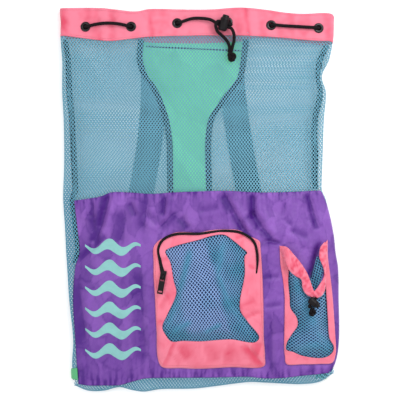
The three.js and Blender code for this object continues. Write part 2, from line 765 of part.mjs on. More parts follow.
// The hem's two ends, and its front and back runs between them
const HEM_CUT_LEFT = -178;
const HEM_CUT_RIGHT = 168.4;
const HEM_CUT_HEIGHT = 19;
const hemRuns = onSide(onSide(hem, "x", HEM_CUT_LEFT, 1), "x", HEM_CUT_RIGHT, -1);
addPiece("hem_front", fromSolid(onSide(hemRuns, "z", HEM_CUT_HEIGHT, 1)), PINK);
addPiece("hem_back", fromSolid(onSide(hemRuns, "z", HEM_CUT_HEIGHT, -1)), PINK);
addPiece("hem_left", fromSolid(onSide(hem, "x", HEM_CUT_LEFT, -1)), PINK);
addPiece("hem_right", fromSolid(onSide(hem, "x", HEM_CUT_RIGHT, 1)), PINK);

function eyeletRing() {
  const corners = [...EYELET_PROFILE, EYELET_PROFILE[0]];
  const profile = corners.map((corner) => new THREE.Vector2(corner.radius, corner.height));
  return new THREE.LatheGeometry(profile, EYELET_SIDES);
}

frontFrames.forEach((frame, index) => {
  addPiece(`eyelet_front_${index + 1}`, standOn(eyeletRing(), frame), BLACK);
});
backFrames.forEach((frame, index) => {
  addPiece(`eyelet_back_${index + 1}`, standOn(eyeletRing(), frame), BLACK);
});

// Drawcord: from the knot through the lock, in and out of every eyelet, and back
function aboveFront(x, y, rise) {
  return new THREE.Vector3(x, y, frontHeight(x, y) + rise);
}

// The points of one pass through an eyelet, heading the way given by run
function eyeletPass(frame, run, goingIn) {
  const side = new THREE.Vector3(frame.axis.z, 0, -frame.axis.x).multiplyScalar(run);
  const passes = [
    { along: -3.2, rise: CORD_OUTSIDE },
    { along: 0, rise: 2.4 },
    { along: 0, rise: -1.4 },
    { along: 3.6, rise: CORD_INSIDE },
  ];
  const points = passes.map((pass) => frame.spot.clone()
    .addScaledVector(side, goingIn ? pass.along : -pass.along)
    .addScaledVector(frame.axis, pass.rise));
  return goingIn ? points : points.reverse();
}

function between(frameA, frameB, rise) {
  const along = frameB.spot.clone().sub(frameA.spot);
  return [0.25, 0.5, 0.75].map((part) => {
    const spot = frameA.spot.clone().addScaledVector(along, part);
    const onBack = frameA.axis.z < 0;
    const height = onBack ? backHeight(spot.x, spot.y) - rise : frontHeight(spot.x, spot.y) + rise;
    return new THREE.Vector3(spot.x, spot.y, height);
  });
}

function foldInside(y, outer) {
  const axis = BACK_HEIGHT + FOLD_RADIUS;
  const x = outer < 0 ? leftAt(y) + 7 : rightAt(y) - 7;
  return new THREE.Vector3(x, y, axis);
}

function drawcordPoints() {
  const [f1, f2, f3, f4, f5, f6] = frontFrames;
  const [b1, b2, b3, b4, b5, b6] = backFrames;
  const turn = degToRad(LOCK.turn);
  const lockHeight = frontHeight(LOCK.x, LOCK.y) + LOCK.rise;
  const inLock = (along, up, lift = 0) => new THREE.Vector3(
    LOCK.x + along * Math.cos(turn) - up * Math.sin(turn),
    LOCK.y + along * Math.sin(turn) + up * Math.cos(turn),
    lockHeight + lift,
  );
  return [
    aboveFront(51.8, 242, 5.5),
    aboveFront(54, 251.5, 5.2),
    aboveFront(56.8, 263, 6.5),
    aboveFront(56, 274, 9),
    inLock(13.5, -3),
    inLock(7, -2.7),
    inLock(-7, -2.7),
    inLock(-11.5, -1.8, -1.6),
    aboveFront(19, 295.6, CORD_OUTSIDE + 2.6),
    aboveFront(1, 298.4, CORD_OUTSIDE + 1.2),
    aboveFront(-14, 297.6, CORD_OUTSIDE + 0.3),
    ...eyeletPass(f3, -1, true),
    ...between(f3, f2, CORD_INSIDE),
    ...eyeletPass(f2, -1, false),
    ...between(f2, f1, CORD_OUTSIDE),
    ...eyeletPass(f1, -1, true),
    foldInside(288, -1),
    ...eyeletPass(b1, 1, false),
    ...between(b1, b2, CORD_OUTSIDE),
    ...eyeletPass(b2, 1, true),
    ...between(b2, b3, CORD_INSIDE),
    ...eyeletPass(b3, 1, false),
    ...between(b3, b4, CORD_OUTSIDE),
    ...eyeletPass(b4, 1, true),
    ...between(b4, b5, CORD_INSIDE),
    ...eyeletPass(b5, 1, false),
    ...between(b5, b6, CORD_OUTSIDE),
    ...eyeletPass(b6, 1, true),
    foldInside(286, 1),
    ...eyeletPass(f6, -1, false),
    ...between(f6, f5, CORD_OUTSIDE),
    ...eyeletPass(f5, -1, true),
    ...between(f5, f4, CORD_INSIDE),
    ...eyeletPass(f4, -1, false).slice(0, 3),
    inLock(12, 2.6),
    inLock(7, 2.6),
    inLock(-7, 2.6),
    inLock(-10.5, 1.6, 2.4),
    inLock(-12.5, -4, 3.4),
    aboveFront(29.5, 276.5, 10),
    aboveFront(36.5, 270, 7.8),
    aboveFront(42.5, 264, 6.4),
    aboveFront(47.4, 257, 5.4),
    aboveFront(49.2, 250, 5.2),
    aboveFront(48.2, 242.5, 5.5),
  ];
}

function knotSolid(knot, rise) {
  const ball = new THREE.SphereGeometry(1, 10, 6);
  ball.scale(knot.across, knot.along, knot.high);
  const spot = aboveFront(knot.x, knot.y, rise);
  ball.translate(spot.x, spot.y, spot.z);
  return toSolid(ball);
}

const drawcord = toSolid(cord(drawcordPoints(), CORD_RADIUS, CORD_SIDES, 1));
addPiece("drawcord", fromSolid(drawcord.add(knotSolid(KNOT, KNOT.high + 1))), BLACK);

// Cord locks: a barrel with a slot for the cord and a bore for its sprung button
function placeLock(geometry, lock) {
  geometry.rotateZ(degToRad(lock.turn));
  geometry.translate(lock.x, lock.y, frontHeight(lock.x, lock.y) + lock.rise);
  return geometry;
}

function lockBody(lock, slot, bore) {
  const profile = [
    { radius: 0, height: -lock.half },
    { radius: lock.radius * 0.8, height: -lock.half },
    { radius: lock.radius, height: -lock.half * 0.75 },
    { radius: lock.radius, height: lock.half * 0.75 },
    { radius: lock.radius * 0.88, height: lock.half },
    { radius: lock.cap + GAP, height: lock.half },
    { radius: lock.cap + GAP, height: bore },
    { radius: 0, height: bore },
  ].map((corner) => new THREE.Vector2(corner.radius, corner.height));
  const barrel = toSolid(new THREE.LatheGeometry(profile, 12));
  const cutter = new THREE.BoxGeometry(3 * lock.radius, slot.along, slot.high);
  cutter.translate(0, slot.middle, 0);
  return placeLock(fromSolid(barrel.subtract(toSolid(cutter))), lock);
}

function lockButton(lock, bore, stroke) {
  const profile = [
    { radius: 0, height: bore + stroke },
    { radius: lock.cap, height: bore + stroke },
    { radius: lock.cap, height: lock.half + stroke + 0.6 },
    { radius: lock.cap * 0.8, height: lock.half + stroke + 1.4 },
    { radius: 0, height: lock.half + stroke + 1.4 },
  ].map((corner) => new THREE.Vector2(corner.radius, corner.height));
  return placeLock(new THREE.LatheGeometry(profile, 10), lock);
}

const LOCK_STROKE = 3.4;
const POCKET_STROKE = 2.6;
addPiece("cord_lock_body", lockBody(LOCK, LOCK_SLOT, LOCK_BORE), BLACK);
addPiece("cord_lock_button", lockButton(LOCK, LOCK_BORE, LOCK_STROKE), BLACK);

// Zip pocket
function closedLoop(rows, x, y) {
  const points = rows.map((row) => new THREE.Vector3(row[x], row[y], 0));
  return new THREE.CatmullRomCurve3(points, true, "centripetal");
}

const GUSSET_STEPS = 32;
const GUSSET_CORNERS = [
  { part: 0, side: 0.5 },
  { part: 0, side: -0.5 },
  { part: 1, side: -0.5 },
  { part: 1, side: 0.5 },
];
const gussetOuter = closedLoop(ZIP_GUSSET, "x", "y");
const gussetInner = closedLoop(ZIP_GUSSET, "inX", "inY");

function gussetPoint(step, corner) {
  const outer = gussetOuter.getPoint(step / GUSSET_STEPS);
  const inner = gussetInner.getPoint(step / GUSSET_STEPS);
  const spot = outer.lerp(inner, corner.part);
  const rise = lerp(GUSSET_LOW, GUSSET_HIGH, corner.part) + corner.side * CLOTH;
  return aboveFront(spot.x, spot.y, rise);
}

const zipLeftAt = tableCurve(ZIP_NET, "y", "left");
const zipRightAt = tableCurve(ZIP_NET, "y", "right");

function zipNetPoint(u, v) {
  const y = lerp(ZIP_NET[0].y, ZIP_NET[ZIP_NET.length - 1].y, v);
  const x = lerp(zipLeftAt(y), zipRightAt(y), u);
  const bulge = (1 - (2 * u - 1) ** 2) * (1 - (2 * v - 1) ** 4);
  return aboveFront(x, y, ZIP_NET_HEIGHT + ZIP_NET_BULGE * bulge);
}

const zipCurve = new THREE.CatmullRomCurve3(
  ZIP_PATH.map((row) => new THREE.Vector3(row.x, row.y, 0)),
  false,
  "centripetal",
);

function zipPoint(u, v) {
  const spot = zipCurve.getPoint(u);
  const tangent = zipCurve.getTangent(u);
  const off = (v - 0.5) * ZIP_WIDTH;
  return aboveFront(spot.x - tangent.y * off, spot.y + tangent.x * off, ZIP_HEIGHT);
}

addPiece("zip_pocket_frame", band(GUSSET_STEPS, GUSSET_CORNERS, gussetPoint), PINK);
addPiece("zip_pocket_mesh", wall(9, 10, CLOTH, zipNetPoint), NET_BLUE);
addPiece("zip_chain", wall(26, 1, ZIP_THICK, zipPoint), BLACK);

// Slider with its bridge, and the pull hung in the bridge
function placeSlider(geometry) {
  geometry.rotateZ(degToRad(SLIDER.turn));
  geometry.translate(SLIDER.x, SLIDER.y, frontHeight(SLIDER.x, SLIDER.y) + SLIDER.rise);
  return geometry;
}

function blockSolid(wide, long, high, x, y, z) {
  const block = new THREE.BoxGeometry(wide, long, high);
  block.translate(x, y, z);
  return toSolid(block);
}

const bridgeTop = SLIDER_BODY.high / 2 + BRIDGE.high;
const barHeight = SLIDER_BODY.high / 2 + 0.4 + PULL.bar / 2;
const sliderSolid = blockSolid(SLIDER_BODY.wide, SLIDER_BODY.long, SLIDER_BODY.high, 0, 0, 0)
  .add(blockSolid(BRIDGE.wide, BRIDGE.long, bridgeTop, 0, BRIDGE.y, bridgeTop / 2))
  .subtract(blockSolid(
    SLIDER_BODY.wide,
    BRIDGE.tunnelLong,
    BRIDGE.tunnelHigh,
    0,
    BRIDGE.y,
    SLIDER_BODY.high / 2 + BRIDGE.tunnelHigh / 2,
  ));
addPiece("zip_slider", placeSlider(fromSolid(sliderSolid)), BLACK);

function pullSolid() {
  const top = BRIDGE.y + PULL.bar / 2;
  const plate = blockSolid(PULL.wide, PULL.long, PULL.thick, 0, top - PULL.long / 2, barHeight);
  const eyeTop = top - PULL.bar;
  const eye = blockSolid(PULL.eyeWide, PULL.eyeLong, 6, 0, eyeTop - PULL.eyeLong / 2, barHeight);
  const footY = top - PULL.long + 4;
  const slot = blockSolid(PULL.slotWide, PULL.slotLong, 6, 0, footY, barHeight);
  return plate.subtract(eye).subtract(slot);
}

addPiece("zip_pull", placeSlider(fromSolid(pullSolid())), BLACK);

// Side pocket
function openPath(rows, x, y) {
  const points = rows.map((row) => new THREE.Vector3(row[x], row[y], 0));
  return new THREE.CatmullRomCurve3(points, false, "centripetal");
}

const stripOuter = openPath(SIDE_STRIPS, "x", "y");
const stripInner = openPath(SIDE_STRIPS, "inX", "inY");
const rimUpper = openPath(RIM, "x", "y");
const rimLower = openPath(RIM, "lowX", "lowY");
const pouchLeftAt = tableCurve(POUCH_SIDES, "part", "left");
const pouchRightAt = tableCurve(POUCH_SIDES, "part", "right");
const pouchLowAt = tableCurve(POUCH_ENDS, "part", "low");
const pouchTopAt = tableCurve(POUCH_ENDS, "part", "top");

function stripPoint(u, v) {
  const spot = stripOuter.getPoint(u).lerp(stripInner.getPoint(u), v);
  return aboveFront(spot.x, spot.y, lerp(STRIP_LOW, STRIP_HIGH, v));
}

function pouchPoint(u, v) {
  const x = lerp(pouchLeftAt(v), pouchRightAt(v), u);
  const y = lerp(pouchLowAt(u), pouchTopAt(u), v);
  const bulge = (1 - (2 * u - 1) ** 2) * smoothstep(v, -0.1, 0.5);
  return aboveFront(x, y, POUCH_HEIGHT + POUCH_BULGE * bulge);
}

function rimPoint(u, v) {
  const spot = rimLower.getPoint(u).lerp(rimUpper.getPoint(u), v);
  return aboveFront(spot.x, spot.y, RIM_HEIGHT + RIM_ARCH * Math.sin(Math.PI * u));
}

addPiece("side_pocket_frame", wall(24, 1, CLOTH, stripPoint), PINK);
addPiece("side_pocket_mesh", wall(9, 9, CLOTH, pouchPoint), NET_BLUE);
addPiece("side_pocket_rim", wall(20, 1, RIM_CLOTH, rimPoint), PINK);
addPiece("pocket_lock_body", lockBody(POCKET_LOCK, POCKET_SLOT, POCKET_BORE), BLACK);
addPiece("pocket_lock_button", lockButton(POCKET_LOCK, POCKET_BORE, POCKET_STROKE), BLACK);

function pocketCordPoints() {
  const turn = degToRad(POCKET_LOCK.turn);
  const height = frontHeight(POCKET_LOCK.x, POCKET_LOCK.y) + POCKET_LOCK.rise;
  const inLock = (along) => new THREE.Vector3(
    POCKET_LOCK.x + along * Math.cos(turn) - POCKET_SLOT.middle * Math.sin(turn),
    POCKET_LOCK.y + along * Math.sin(turn) + POCKET_SLOT.middle * Math.cos(turn),
    height,
  );
  return [
    inLock(-9.5),
    inLock(-5),
    inLock(0),
    inLock(6),
    inLock(10),
    new THREE.Vector3(POCKET_KNOT.x - 1, POCKET_KNOT.y + 7, height - 1.5),
    new THREE.Vector3(POCKET_KNOT.x, POCKET_KNOT.y, height - 2.5),
  ];
}

const pocketKnot = knotSolid(POCKET_KNOT, POCKET_LOCK.rise - 2.5);
const pocketCord = toSolid(cord(pocketCordPoints(), POCKET_CORD_RADIUS, CORD_SIDES, 2));
addPiece("pocket_cord", fromSolid(pocketCord.add(pocketKnot)), BLACK);

// Shoulder straps, adjusters, webbing and corner tabs underneath
for (const side of ["left", "right"]) {
  const strapAt = tableCurve(STRAPS, "y", side);
  const strapPoint = (u, v) => {
    const y = lerp(STRAP_LOW, STRAP_TOP, v);
    const narrow = 1 - smoothstep(y, STRAP_LOW, STRAP_LOW + STRAP_TAPER);
    const half = lerp(STRAP_HALF, STRAP_END_HALF, narrow);
    return new THREE.Vector3(strapAt(y) + (2 * u - 1) * half, y, STRAP_THICK / 2);
  };
  addPiece(`strap_${side}`, wall(1, 16, STRAP_THICK, strapPoint), STRAP_BLUE);

  const middle = new THREE.Vector2(strapAt(STRAP_LOW), ADJUSTER_Y);
  const far = new THREE.Vector2(WEBBING_END[side], WEBBING_END.y);
  const way = far.clone().sub(middle).normalize();
  const near = middle.clone().addScaledVector(way, ADJUSTER.long / 2 + GAP);
  const webbingPoint = (u, v) => {
    const across = (u - 0.5) * WEBBING_WIDTH;
    const x = lerp(far.x, near.x, v) - across * way.y;
    const y = lerp(far.y, near.y, v) + across * way.x;
    return new THREE.Vector3(x, y, WEBBING_THICK / 2);
  };
  addPiece(`webbing_${side}`, wall(1, 8, WEBBING_THICK, webbingPoint), BLACK);

  const plate = blockSolid(ADJUSTER.wide, ADJUSTER.long, ADJUSTER.thick, 0, 0, ADJUSTER.thick / 2);
  const upper = blockSolid(ADJUSTER.slotWide, ADJUSTER.slotLong, 20, 0, ADJUSTER.slotApart / 2, 0);
  const lower = blockSolid(ADJUSTER.slotWide, ADJUSTER.slotLong, 20, 0, -ADJUSTER.slotApart / 2, 0);
  const adjuster = fromSolid(plate.subtract(upper).subtract(lower));
  adjuster.rotateZ(Math.atan2(way.x, -way.y));
  adjuster.translate(middle.x, middle.y, 0);
  addPiece(`adjuster_${side}`, adjuster, BLACK);
}

// Green tabs folded round the bottom corners of the side seams
function tabPoint(u, v, from, to) {
  const y = lerp(TAB_LOW, TAB_TOP, v);
  return sackPoint(lerp(from(y), to(y), u), y);
}

const TAB_ROUND = Math.PI * FOLD_RADIUS + TAB_UNDER;
const TAB_SIDE = Math.PI * FOLD_RADIUS * 0.8;
const tabLeft = (u, v) => tabPoint(u, v, () => -TAB_ROUND, () => 1);
const tabRight = (u, v) => tabPoint(
  u,
  v,
  (y) => frontSpan(y) + TAB_SIDE,
  (y) => frontSpan(y) + TAB_ROUND,
);
addPiece("corner_tab_left", wall(6, 2, CLOTH, tabLeft, TAB_LIFT), GREEN);
addPiece("corner_tab_right", wall(5, 2, CLOTH, tabRight, TAB_LIFT), GREEN);

export default bag;
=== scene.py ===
"""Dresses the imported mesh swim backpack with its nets, cloth, cords and hardware, and sets its stage."""

import bisect
import math
from collections import namedtuple

import bmesh
import bpy
from bpy.props import FloatProperty, FloatVectorProperty, IntProperty, PointerProperty
from mathutils import Matrix, Vector, noise


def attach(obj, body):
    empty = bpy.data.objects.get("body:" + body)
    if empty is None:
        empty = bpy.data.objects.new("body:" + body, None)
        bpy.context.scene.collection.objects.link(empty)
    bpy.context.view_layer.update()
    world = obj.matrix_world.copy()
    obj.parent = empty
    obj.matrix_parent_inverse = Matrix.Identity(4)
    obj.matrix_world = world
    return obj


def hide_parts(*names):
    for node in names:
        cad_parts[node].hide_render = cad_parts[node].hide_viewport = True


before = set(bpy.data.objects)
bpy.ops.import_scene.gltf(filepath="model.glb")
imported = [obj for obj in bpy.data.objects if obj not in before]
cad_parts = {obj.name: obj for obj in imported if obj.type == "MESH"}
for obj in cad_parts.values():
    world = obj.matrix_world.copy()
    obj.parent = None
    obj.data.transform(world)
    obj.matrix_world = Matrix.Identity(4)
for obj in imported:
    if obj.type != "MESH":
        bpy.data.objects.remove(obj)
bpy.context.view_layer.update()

bl_info = {
    "name": "Mesh swim backpack",
    "version": (1, 0, 0),
    "blender": (4, 5, 0),
    "location": "View3D > Sidebar > Backpack",
    "description": "Builds the nets, cloth, cords and hardware of a mesh swim backpack",
    "category": "Object",
}

COLUMNS = ("left", "middle", "right")
FRONT_NET_NODES = [f"front_mesh_{column}" for column in COLUMNS]
PANEL_NODES = [f"panel_{row}_{column}" for row in ("upper", "lower") for column in COLUMNS]
HEM_NODES = ["hem_front", "hem_back", "hem_left", "hem_right"]

# Lengths in the tables and shape functions are millimetres; meshes are metres.
MM = 0.001
MERGE = 1e-6

# Steps of the pieces' grids
HEM_COLUMNS = 420
GUSSET_COLUMNS = 260
STRIP_COLUMNS = 220
WEBBING_COLUMNS = 6
TAB_COLUMNS = 30
CORD_SIDES = 14

# Thickness of bound edges and tabs, in layers of the nylon
EDGE_LAYERS = 1.4
TAB_LAYERS = 1.6


def table(kind, *rows):
    """Rows of one kind, with their columns named by it."""
    return [kind(*row) for row in rows]


# Shape of the lying sack
FOLD_RADIUS = 7.5
FOLD_BEND = math.pi * FOLD_RADIUS
BACK_HEIGHT = 2.9
FOLD_AXIS = BACK_HEIGHT + FOLD_RADIUS
STRAP_LIFT = 7.2
LIFT_CENTRE = -8
LIFT_REACH = 145
LIFT_SLOPE = 55
LIFT_LOW = -205
LIFT_LOW_SLOPE = 60
MOUTH_LIFT_LOW = 190
MOUTH_LIFT_TOP = 255
MOUTH_LIFT_CENTRE = -3.7
MOUTH_LIFT_REACH = 184
MOUTH_LIFT_SLOPE = 30
FRONT_LOFT = 24
CROWN_POWER = 3
BASE_RISE = 130
MOUTH_DROP = 150
MOUTH_LOFT = 0.45
BACK_LOW = -288
FLAP_LOW = -299
MOUTH_TOP = 317
YOKE_TOP = 262
TAPE_WIDTH = 10
TAPE_INSET = -2.4

Side = namedtuple("Side", "y left right flap_left flap_right")
SIDES = table(
    Side,
    (-294, -209.6, 212, 10, -5),
    (-267, -210.4, 225.2, 8, -6),
    (-231, -208.7, 230.5, 4, -6),
    (-165, -215.3, 230, 7, -6),
    (-112, -218.6, 228.5, 14, -6),
    (-86, -220.3, 224.4, 23, -6),
    (-53, -221.9, 221, 22, -6),
    (0, -225.2, 208.7, 19, 1),
    (14, -225.2, 202.6, 19, 1),
    (20, -225, 201.5, 19, 9),
    (66, -223.6, 203, 15.5, 11.5),
    (132, -224.4, 205.4, 13, 14),
    (178, -226.9, 208.7, 11.5, 8),
    (205, -226.9, 202.1, 10, 5),
    (231, -226.9, 213.7, 9, 14),
    (264, -229.4, 220.3, 6.6, 6.6),
    (317, -231, 223.6, 6, 6),
)

Base = namedtuple("Base", "x fold seam")
BASE = table(
    Base,
    (-205, -306.9, -302),
    (-184, -315.2, -305.3),
    (-158, -315.2, -305.3),
    (-133, -309.4, -304.9),
    (-111, -314.3, -299),
    (-92, -316.8, -294),
    (-65, -312.7, -292.7),
    (-12, -311.9, -292.4),
    (27, -307.7, -292),
    (80, -301.1, -291),
    (110, -302, -293.7),
    (141, -303.6, -292.5),
    (169, -304.4, -289.2),
    (199, -300.3, -286.3),
    (220, -287, -283.3),
)

Edge = namedtuple("Edge", "x y")
PANEL_TOP = table(
    Edge,
    (-207, -2),
    (-177, 2.1),
    (-162, 5),
    (-145, 11.5),
    (-117, 11.5),
    (-78, 9),
    (-44, 11.5),
    (43, 14),
    (92, 11.5),
    (135, 11.7),
    (202, 14.9),
)

Hem = namedtuple("Hem", "x top low")
HEM = table(
    Hem,
    (-230, 316.8, 272.3),
    (-191, 316.8, 266.5),
    (-158, 316, 262.4),
    (-144, 314.3, 261.9),
    (-105, 310.2, 266.1),
    (-82, 314.3, 268.5),
    (-35, 313.5, 269.8),
    (17, 313.5, 270.6),
    (67, 316.8, 270.6),
    (106, 313.5, 269),
    (141, 308.6, 266.8),
    (172, 306.9, 264),
    (202, 308.6, 262.4),
    (214, 308.2, 262.8),
    (219, 306.4, 263),
    (222, 303, 263.2),
)
HEM_BACK = table(
    Edge,
    (-230, 268),
    (-125, 268),
    (-100, 264),
    (-80, 260.5),
    (0, 259),
    (35, 260.5),
    (67, 263),
    (95, 268),
    (150, 264),
    (175, 260),
    (212, 256),
)

Yoke = namedtuple("Yoke", "y left right")
YOKE = table(
    Yoke,
    (-288, -48.4, 16.2),
    (8, -48.4, 16.2),
    (66, -49.1, 14.5),
    (99, -50, 14.6),
    (132, -55.2, 19.2),
    (148, -60, 28),
    (173, -69.4, 44.3),
    (190, -79, 59.2),
    (205, -90.5, 68.2),
    (231, -98.6, 72.9),
    (259, -97.6, 76.6),
)

# Folds of the front panel: a valley between two ends with a ridge beside it.
# A positive ridge stands to the right of the way from the first end to the second.
Fold = namedtuple("Fold", "from_x from_y to_x to_y width depth ridge")
FOLDS = table(
    Fold,
    (-149, 9, -156, -18, 6.5, 6, -3),
    (-156, -18, -163, -45, 6.5, 6, -3),
    (-163, -45, -173, -70, 5.5, 4.5, -2.5),
    (-176, -2, -174, -53, 5, 3.4, -2),
    (-197, -99, -156, -62, 4.5, 3, 1.5),
    (-113, -5, -105, -25, 5, 3, -1.5),
    (-56, 6, -59, -25, 4, 3.6, -2),
    (-29, -28, -20, -46, 6, 3.2, -1.5),
    (41, 8, 57, -21, 5.5, 5, -2.6),
    (57, -21, 72, -48, 6, 5.4, -3),
    (72, -48, 88, -64, 5, 4, -2),
    (88, 7, 89, -25, 5, 5, -2),
    (86, -20, 102, -45, 7, 6.5, -3),
    (102, -45, 119, -64, 5.5, 4.6, -2),
    (179, 9, 187, -20, 4.5, 4, -2),
    (187, -20, 194, -46, 4.5, 3.8, -1.5),
    (141, -4, 138, -26, 3.5, 2, -1),
    (138, -31, 150, -42, 3.5, 1.6, 1),
    (100, -69, 128, -68, 4, 2.6, -1.4),
    (104, -128, 130, -126, 4, 1.6, 1),
    (106, -176, 134, -172, 4, 1.6, 1),
    (-97, -120, -95, -204, 8, 2.4, -1.6),
    (-95, -204, -90, -262, 8, 2, -1.6),
    (-188, -24, -170, -27, 3.5, 1.8, 1),
    (-90, -20, -70, -40, 6, 2.2, 1.2),
    (-86, 2, -92, -46, 6, 2.6, -1.6),
    (-124, -20, -128, -70, 9, 2.6, -1.8),
    (-40, -20, -66, -48, 5, 2.4, 1.4),
    (2, -18, 30, -14, 5, 1.4, 0.8),
    (-200, -150, -190, -230, 8, 2.4, -1.4),
    (116, -190, 118, -270, 6, 2, -1),
    (150, -50, 176, -62, 5, 1.6, 1),
    (198, -74, 180, -130, 5, 4, -1),
    (110, -66, 132, -72, 3, 3, 1),
)
FOLD_RIDGE_AWAY = 1.5
FOLD_FADE = 0.2
# Painted shade of the folds: how far it reaches in half widths, and the fold depths at which it is full on
# the panel and on the creases
FOLD_SHADE_REACH = 3
PANEL_FOLD_FULL_SHADE = 4.6
CREASE_FULL_SHADE = 1.8

# Upright folds of the hem, by their place across: half width and depth
HemFold = namedtuple("HemFold", "x width depth")
HEM_FOLDS = table(
    HemFold,
    (-223, 9, 1.6),
    (-181, 7, 0.6),
    (-166, 6, 1.1),
    (-144, 7, 1.4),
    (-118, 8, 0.5),
    (-81, 5, 1.6),
    (-62, 9, 0.6),
    (-22, 6, 0.8),
    (10, 8, 0.7),
    (33, 6, 0.8),
    (62, 8, 1.2),
    (79, 4.5, 1.7),
    (103, 7, 0.7),
    (131, 8, 0.8),
    (150, 6, 0.6),
    (172, 7, 0.8),
    (211, 8, 0.7),
)

# Creases of the zip pocket's gusset
CREASES = table(
    Fold,
    (-43, -234, -60, -272, 3, 1.4, 0.8),
    (75, -238, 104, -272, 4.5, 2, -1),
    (92, -262, 100, -236, 6, 1.4, 0.6),
    (71, -196, 100, -184, 3.5, 1.2, 0.7),
    (64, -178, 90, -166, 3, 0.9, 0.5),
    (-52, -152, -66, -176, 4, 1.2, 0.6),
    (-48, -206, -66, -196, 4, 1, 0.6),
    (-36, -240, -22, -262, 7, 1.2, 0.6),
    (10, -238, 16, -268, 8, 1, 0.5),
    (48, -234, 40, -270, 6, 1, 0.5),
    (-48, -92, -66, -98, 3, 0.9, 0.5),
    (60, -64, 74, -58, 3, 1, 0.5),
    (80, -110, 96, -114, 3, 0.8, 0.4),
)

# Ridges along which the pockets' slack nets lie doubled
Band = namedtuple("Band", "from_x from_y to_x to_y width")
NET_BANDS = table(
    Band,
    (-16, -84, -33, -151, 6),
    (-33, -151, -52, -206, 6.5),
    (40, -68, 30, -121, 6),
    (30, -121, 49, -172, 5),
    (49, -172, 82, -212, 5),
    (-44, -216, -16, -200, 5),
    (8, -218, 34, -204, 4),
    (156, -126, 171, -159, 7),
    (171, -159, 190, -206, 8),
    (158, -246, 196, -238, 6),
    (192, -216, 218, -244, 5),
)

Eyelet = namedtuple("Eyelet", "x y back_x")
EYELETS = table(
    Eyelet,
    (-187.7, 285.5, -180),
    (-112.5, 285.2, -108),
    (-36.7, 290.7, -36),
    (46.2, 292.5, 36),
    (117.8, 287.5, 108),
    (196.2, 283.5, 172),
)
Corner = namedtuple("Corner", "radius height")
EYELET_PROFILE = table(
    Corner,
    (3.4, -1.2),
    (4.2, -1.3),
    (4.6, 1.4),
    (7.8, 1.2),
    (8.3, 1.6),
    (7.9, 2.2),
    (6.6, 2.6),
    (5, 2.5),
    (3.8, 2),
    (3.4, 1.2),
)
EYELET_CLOTH_HOLE = 6

Lock = namedtuple("Lock", "x y turn rise radius half cap bore stroke slot_along slot_high slot_middle")
LOCK = Lock(39.6, 288.2, -16, 11.2, 7.5, 11, 5.6, 5.6, 3.4, 10.6, 5.6, -0.3)
POCKET_LOCK = Lock(185.6, -166.8, -130, 27.8, 6.2, 8, 3.8, 4.2, 2.6, 4.6, 4.6, -1)

SLOT_BEVEL = 1.2

Knot = namedtuple("Knot", "x y rise size turn")
KNOT = Knot(52.7, 235, 6.5, 0.92, 10)
POCKET_KNOT = Knot(184.4, -183, 25.3, 0.95, -20)
CORD_OUTSIDE = 5.3
CORD_INSIDE = -3.6
CORD_BOW = 5.5
KNOT_STEPS = 48

# Zip pocket: the sewn outer edge of its pink gusset and the inner edge over the net
Ring = namedtuple("Ring", "x y in_x in_y")
ZIP_GUSSET = table(
    Ring,
    (-61.9, -274.9, -46, -232),
    (-68.5, -260.7, -55, -222),
    (-70.1, -216.2, -61, -208),
    (-71.5, -190, -53, -188),
    (-72.9, -158.4, -38, -152),
    (-75.1, -123.8, -42.6, -130.4),
    (-75.1, -102.3, -47.7, -102.3),
    (-75.1, -78, -56.1, -84),
    (-67.8, -67.7, -50, -79),
    (-54.5, -60.1, -43, -76.5),
    (-38.8, -53.3, -34, -73.5),
    (0.8, -53.3, 0.8, -64.4),
    (17.3, -50, 20, -58.5),
    (41.3, -48.3, 40.4, -56.8),
    (65.2, -50, 57, -67.7),
    (81.7, -59.4, 68, -77),
    (98.2, -67.7, 78, -86.5),
    (99.8, -79.2, 74, -92),
    (102.6, -120.5, 74.1, -120.5),
    (104.4, -165, 66, -178),
    (105, -200, 78, -198),
    (105.3, -226.1, 98, -225),
    (107.7, -259.1, 93, -233),
    (106.4, -273.9, 82, -234),
    (52, -275.6, 52, -228.7),
    (0.8, -278, 0.8, -232),
    (-30, -277, -27, -231),
)
GUSSET_LOW = 1.6
GUSSET_HIGH = 8.5
ZIP_NET_EDGE = 5.6
ZIP_NET_BULGE = 9
NET_SQUARE = 100
TURNED_ROOM = 1.4
NET_DRIFT = 5
NET_DRIFT_SIZE = 55
ZIP_PATH = table(
    Edge,
    (-60.3, -118),
    (-61.5, -112.5),
    (-64.5, -99.7),
    (-67.6, -82.5),
    (-65, -72.6),
    (-57.8, -63.5),
    (-39.3, -56),
    (1, -55),
    (40.4, -50.5),
    (66, -53),
    (81.7, -61),
    (90, -70),
    (94.2, -86),
    (94.9, -103),
    (93.2, -120),
)
ZIP_WIDTH = 3.5
ZIP_HEIGHT = 6.4
ZIP_TOOTH = 1.3
ZIP_THICK = 1.2

Slider = namedtuple("Slider", "x y turn rise wide long high")
SLIDER = Slider(-59.5, -123, -10, 8.8, 10, 15, 4.4)
Pull = namedtuple("Pull", "wide long thick bar eye_wide eye_long slot_wide slot_long slot_foot height")
PULL = Pull(9.6, 29, 1.4, 2, 5.6, 5.4, 5.5, 2.4, 2.8, 3.6)
BRIDGE_Y = -3
PULL_EDGE = 0.4
SLIDER_BEVEL = 0.7
SLIDER_SHARP = 0.7

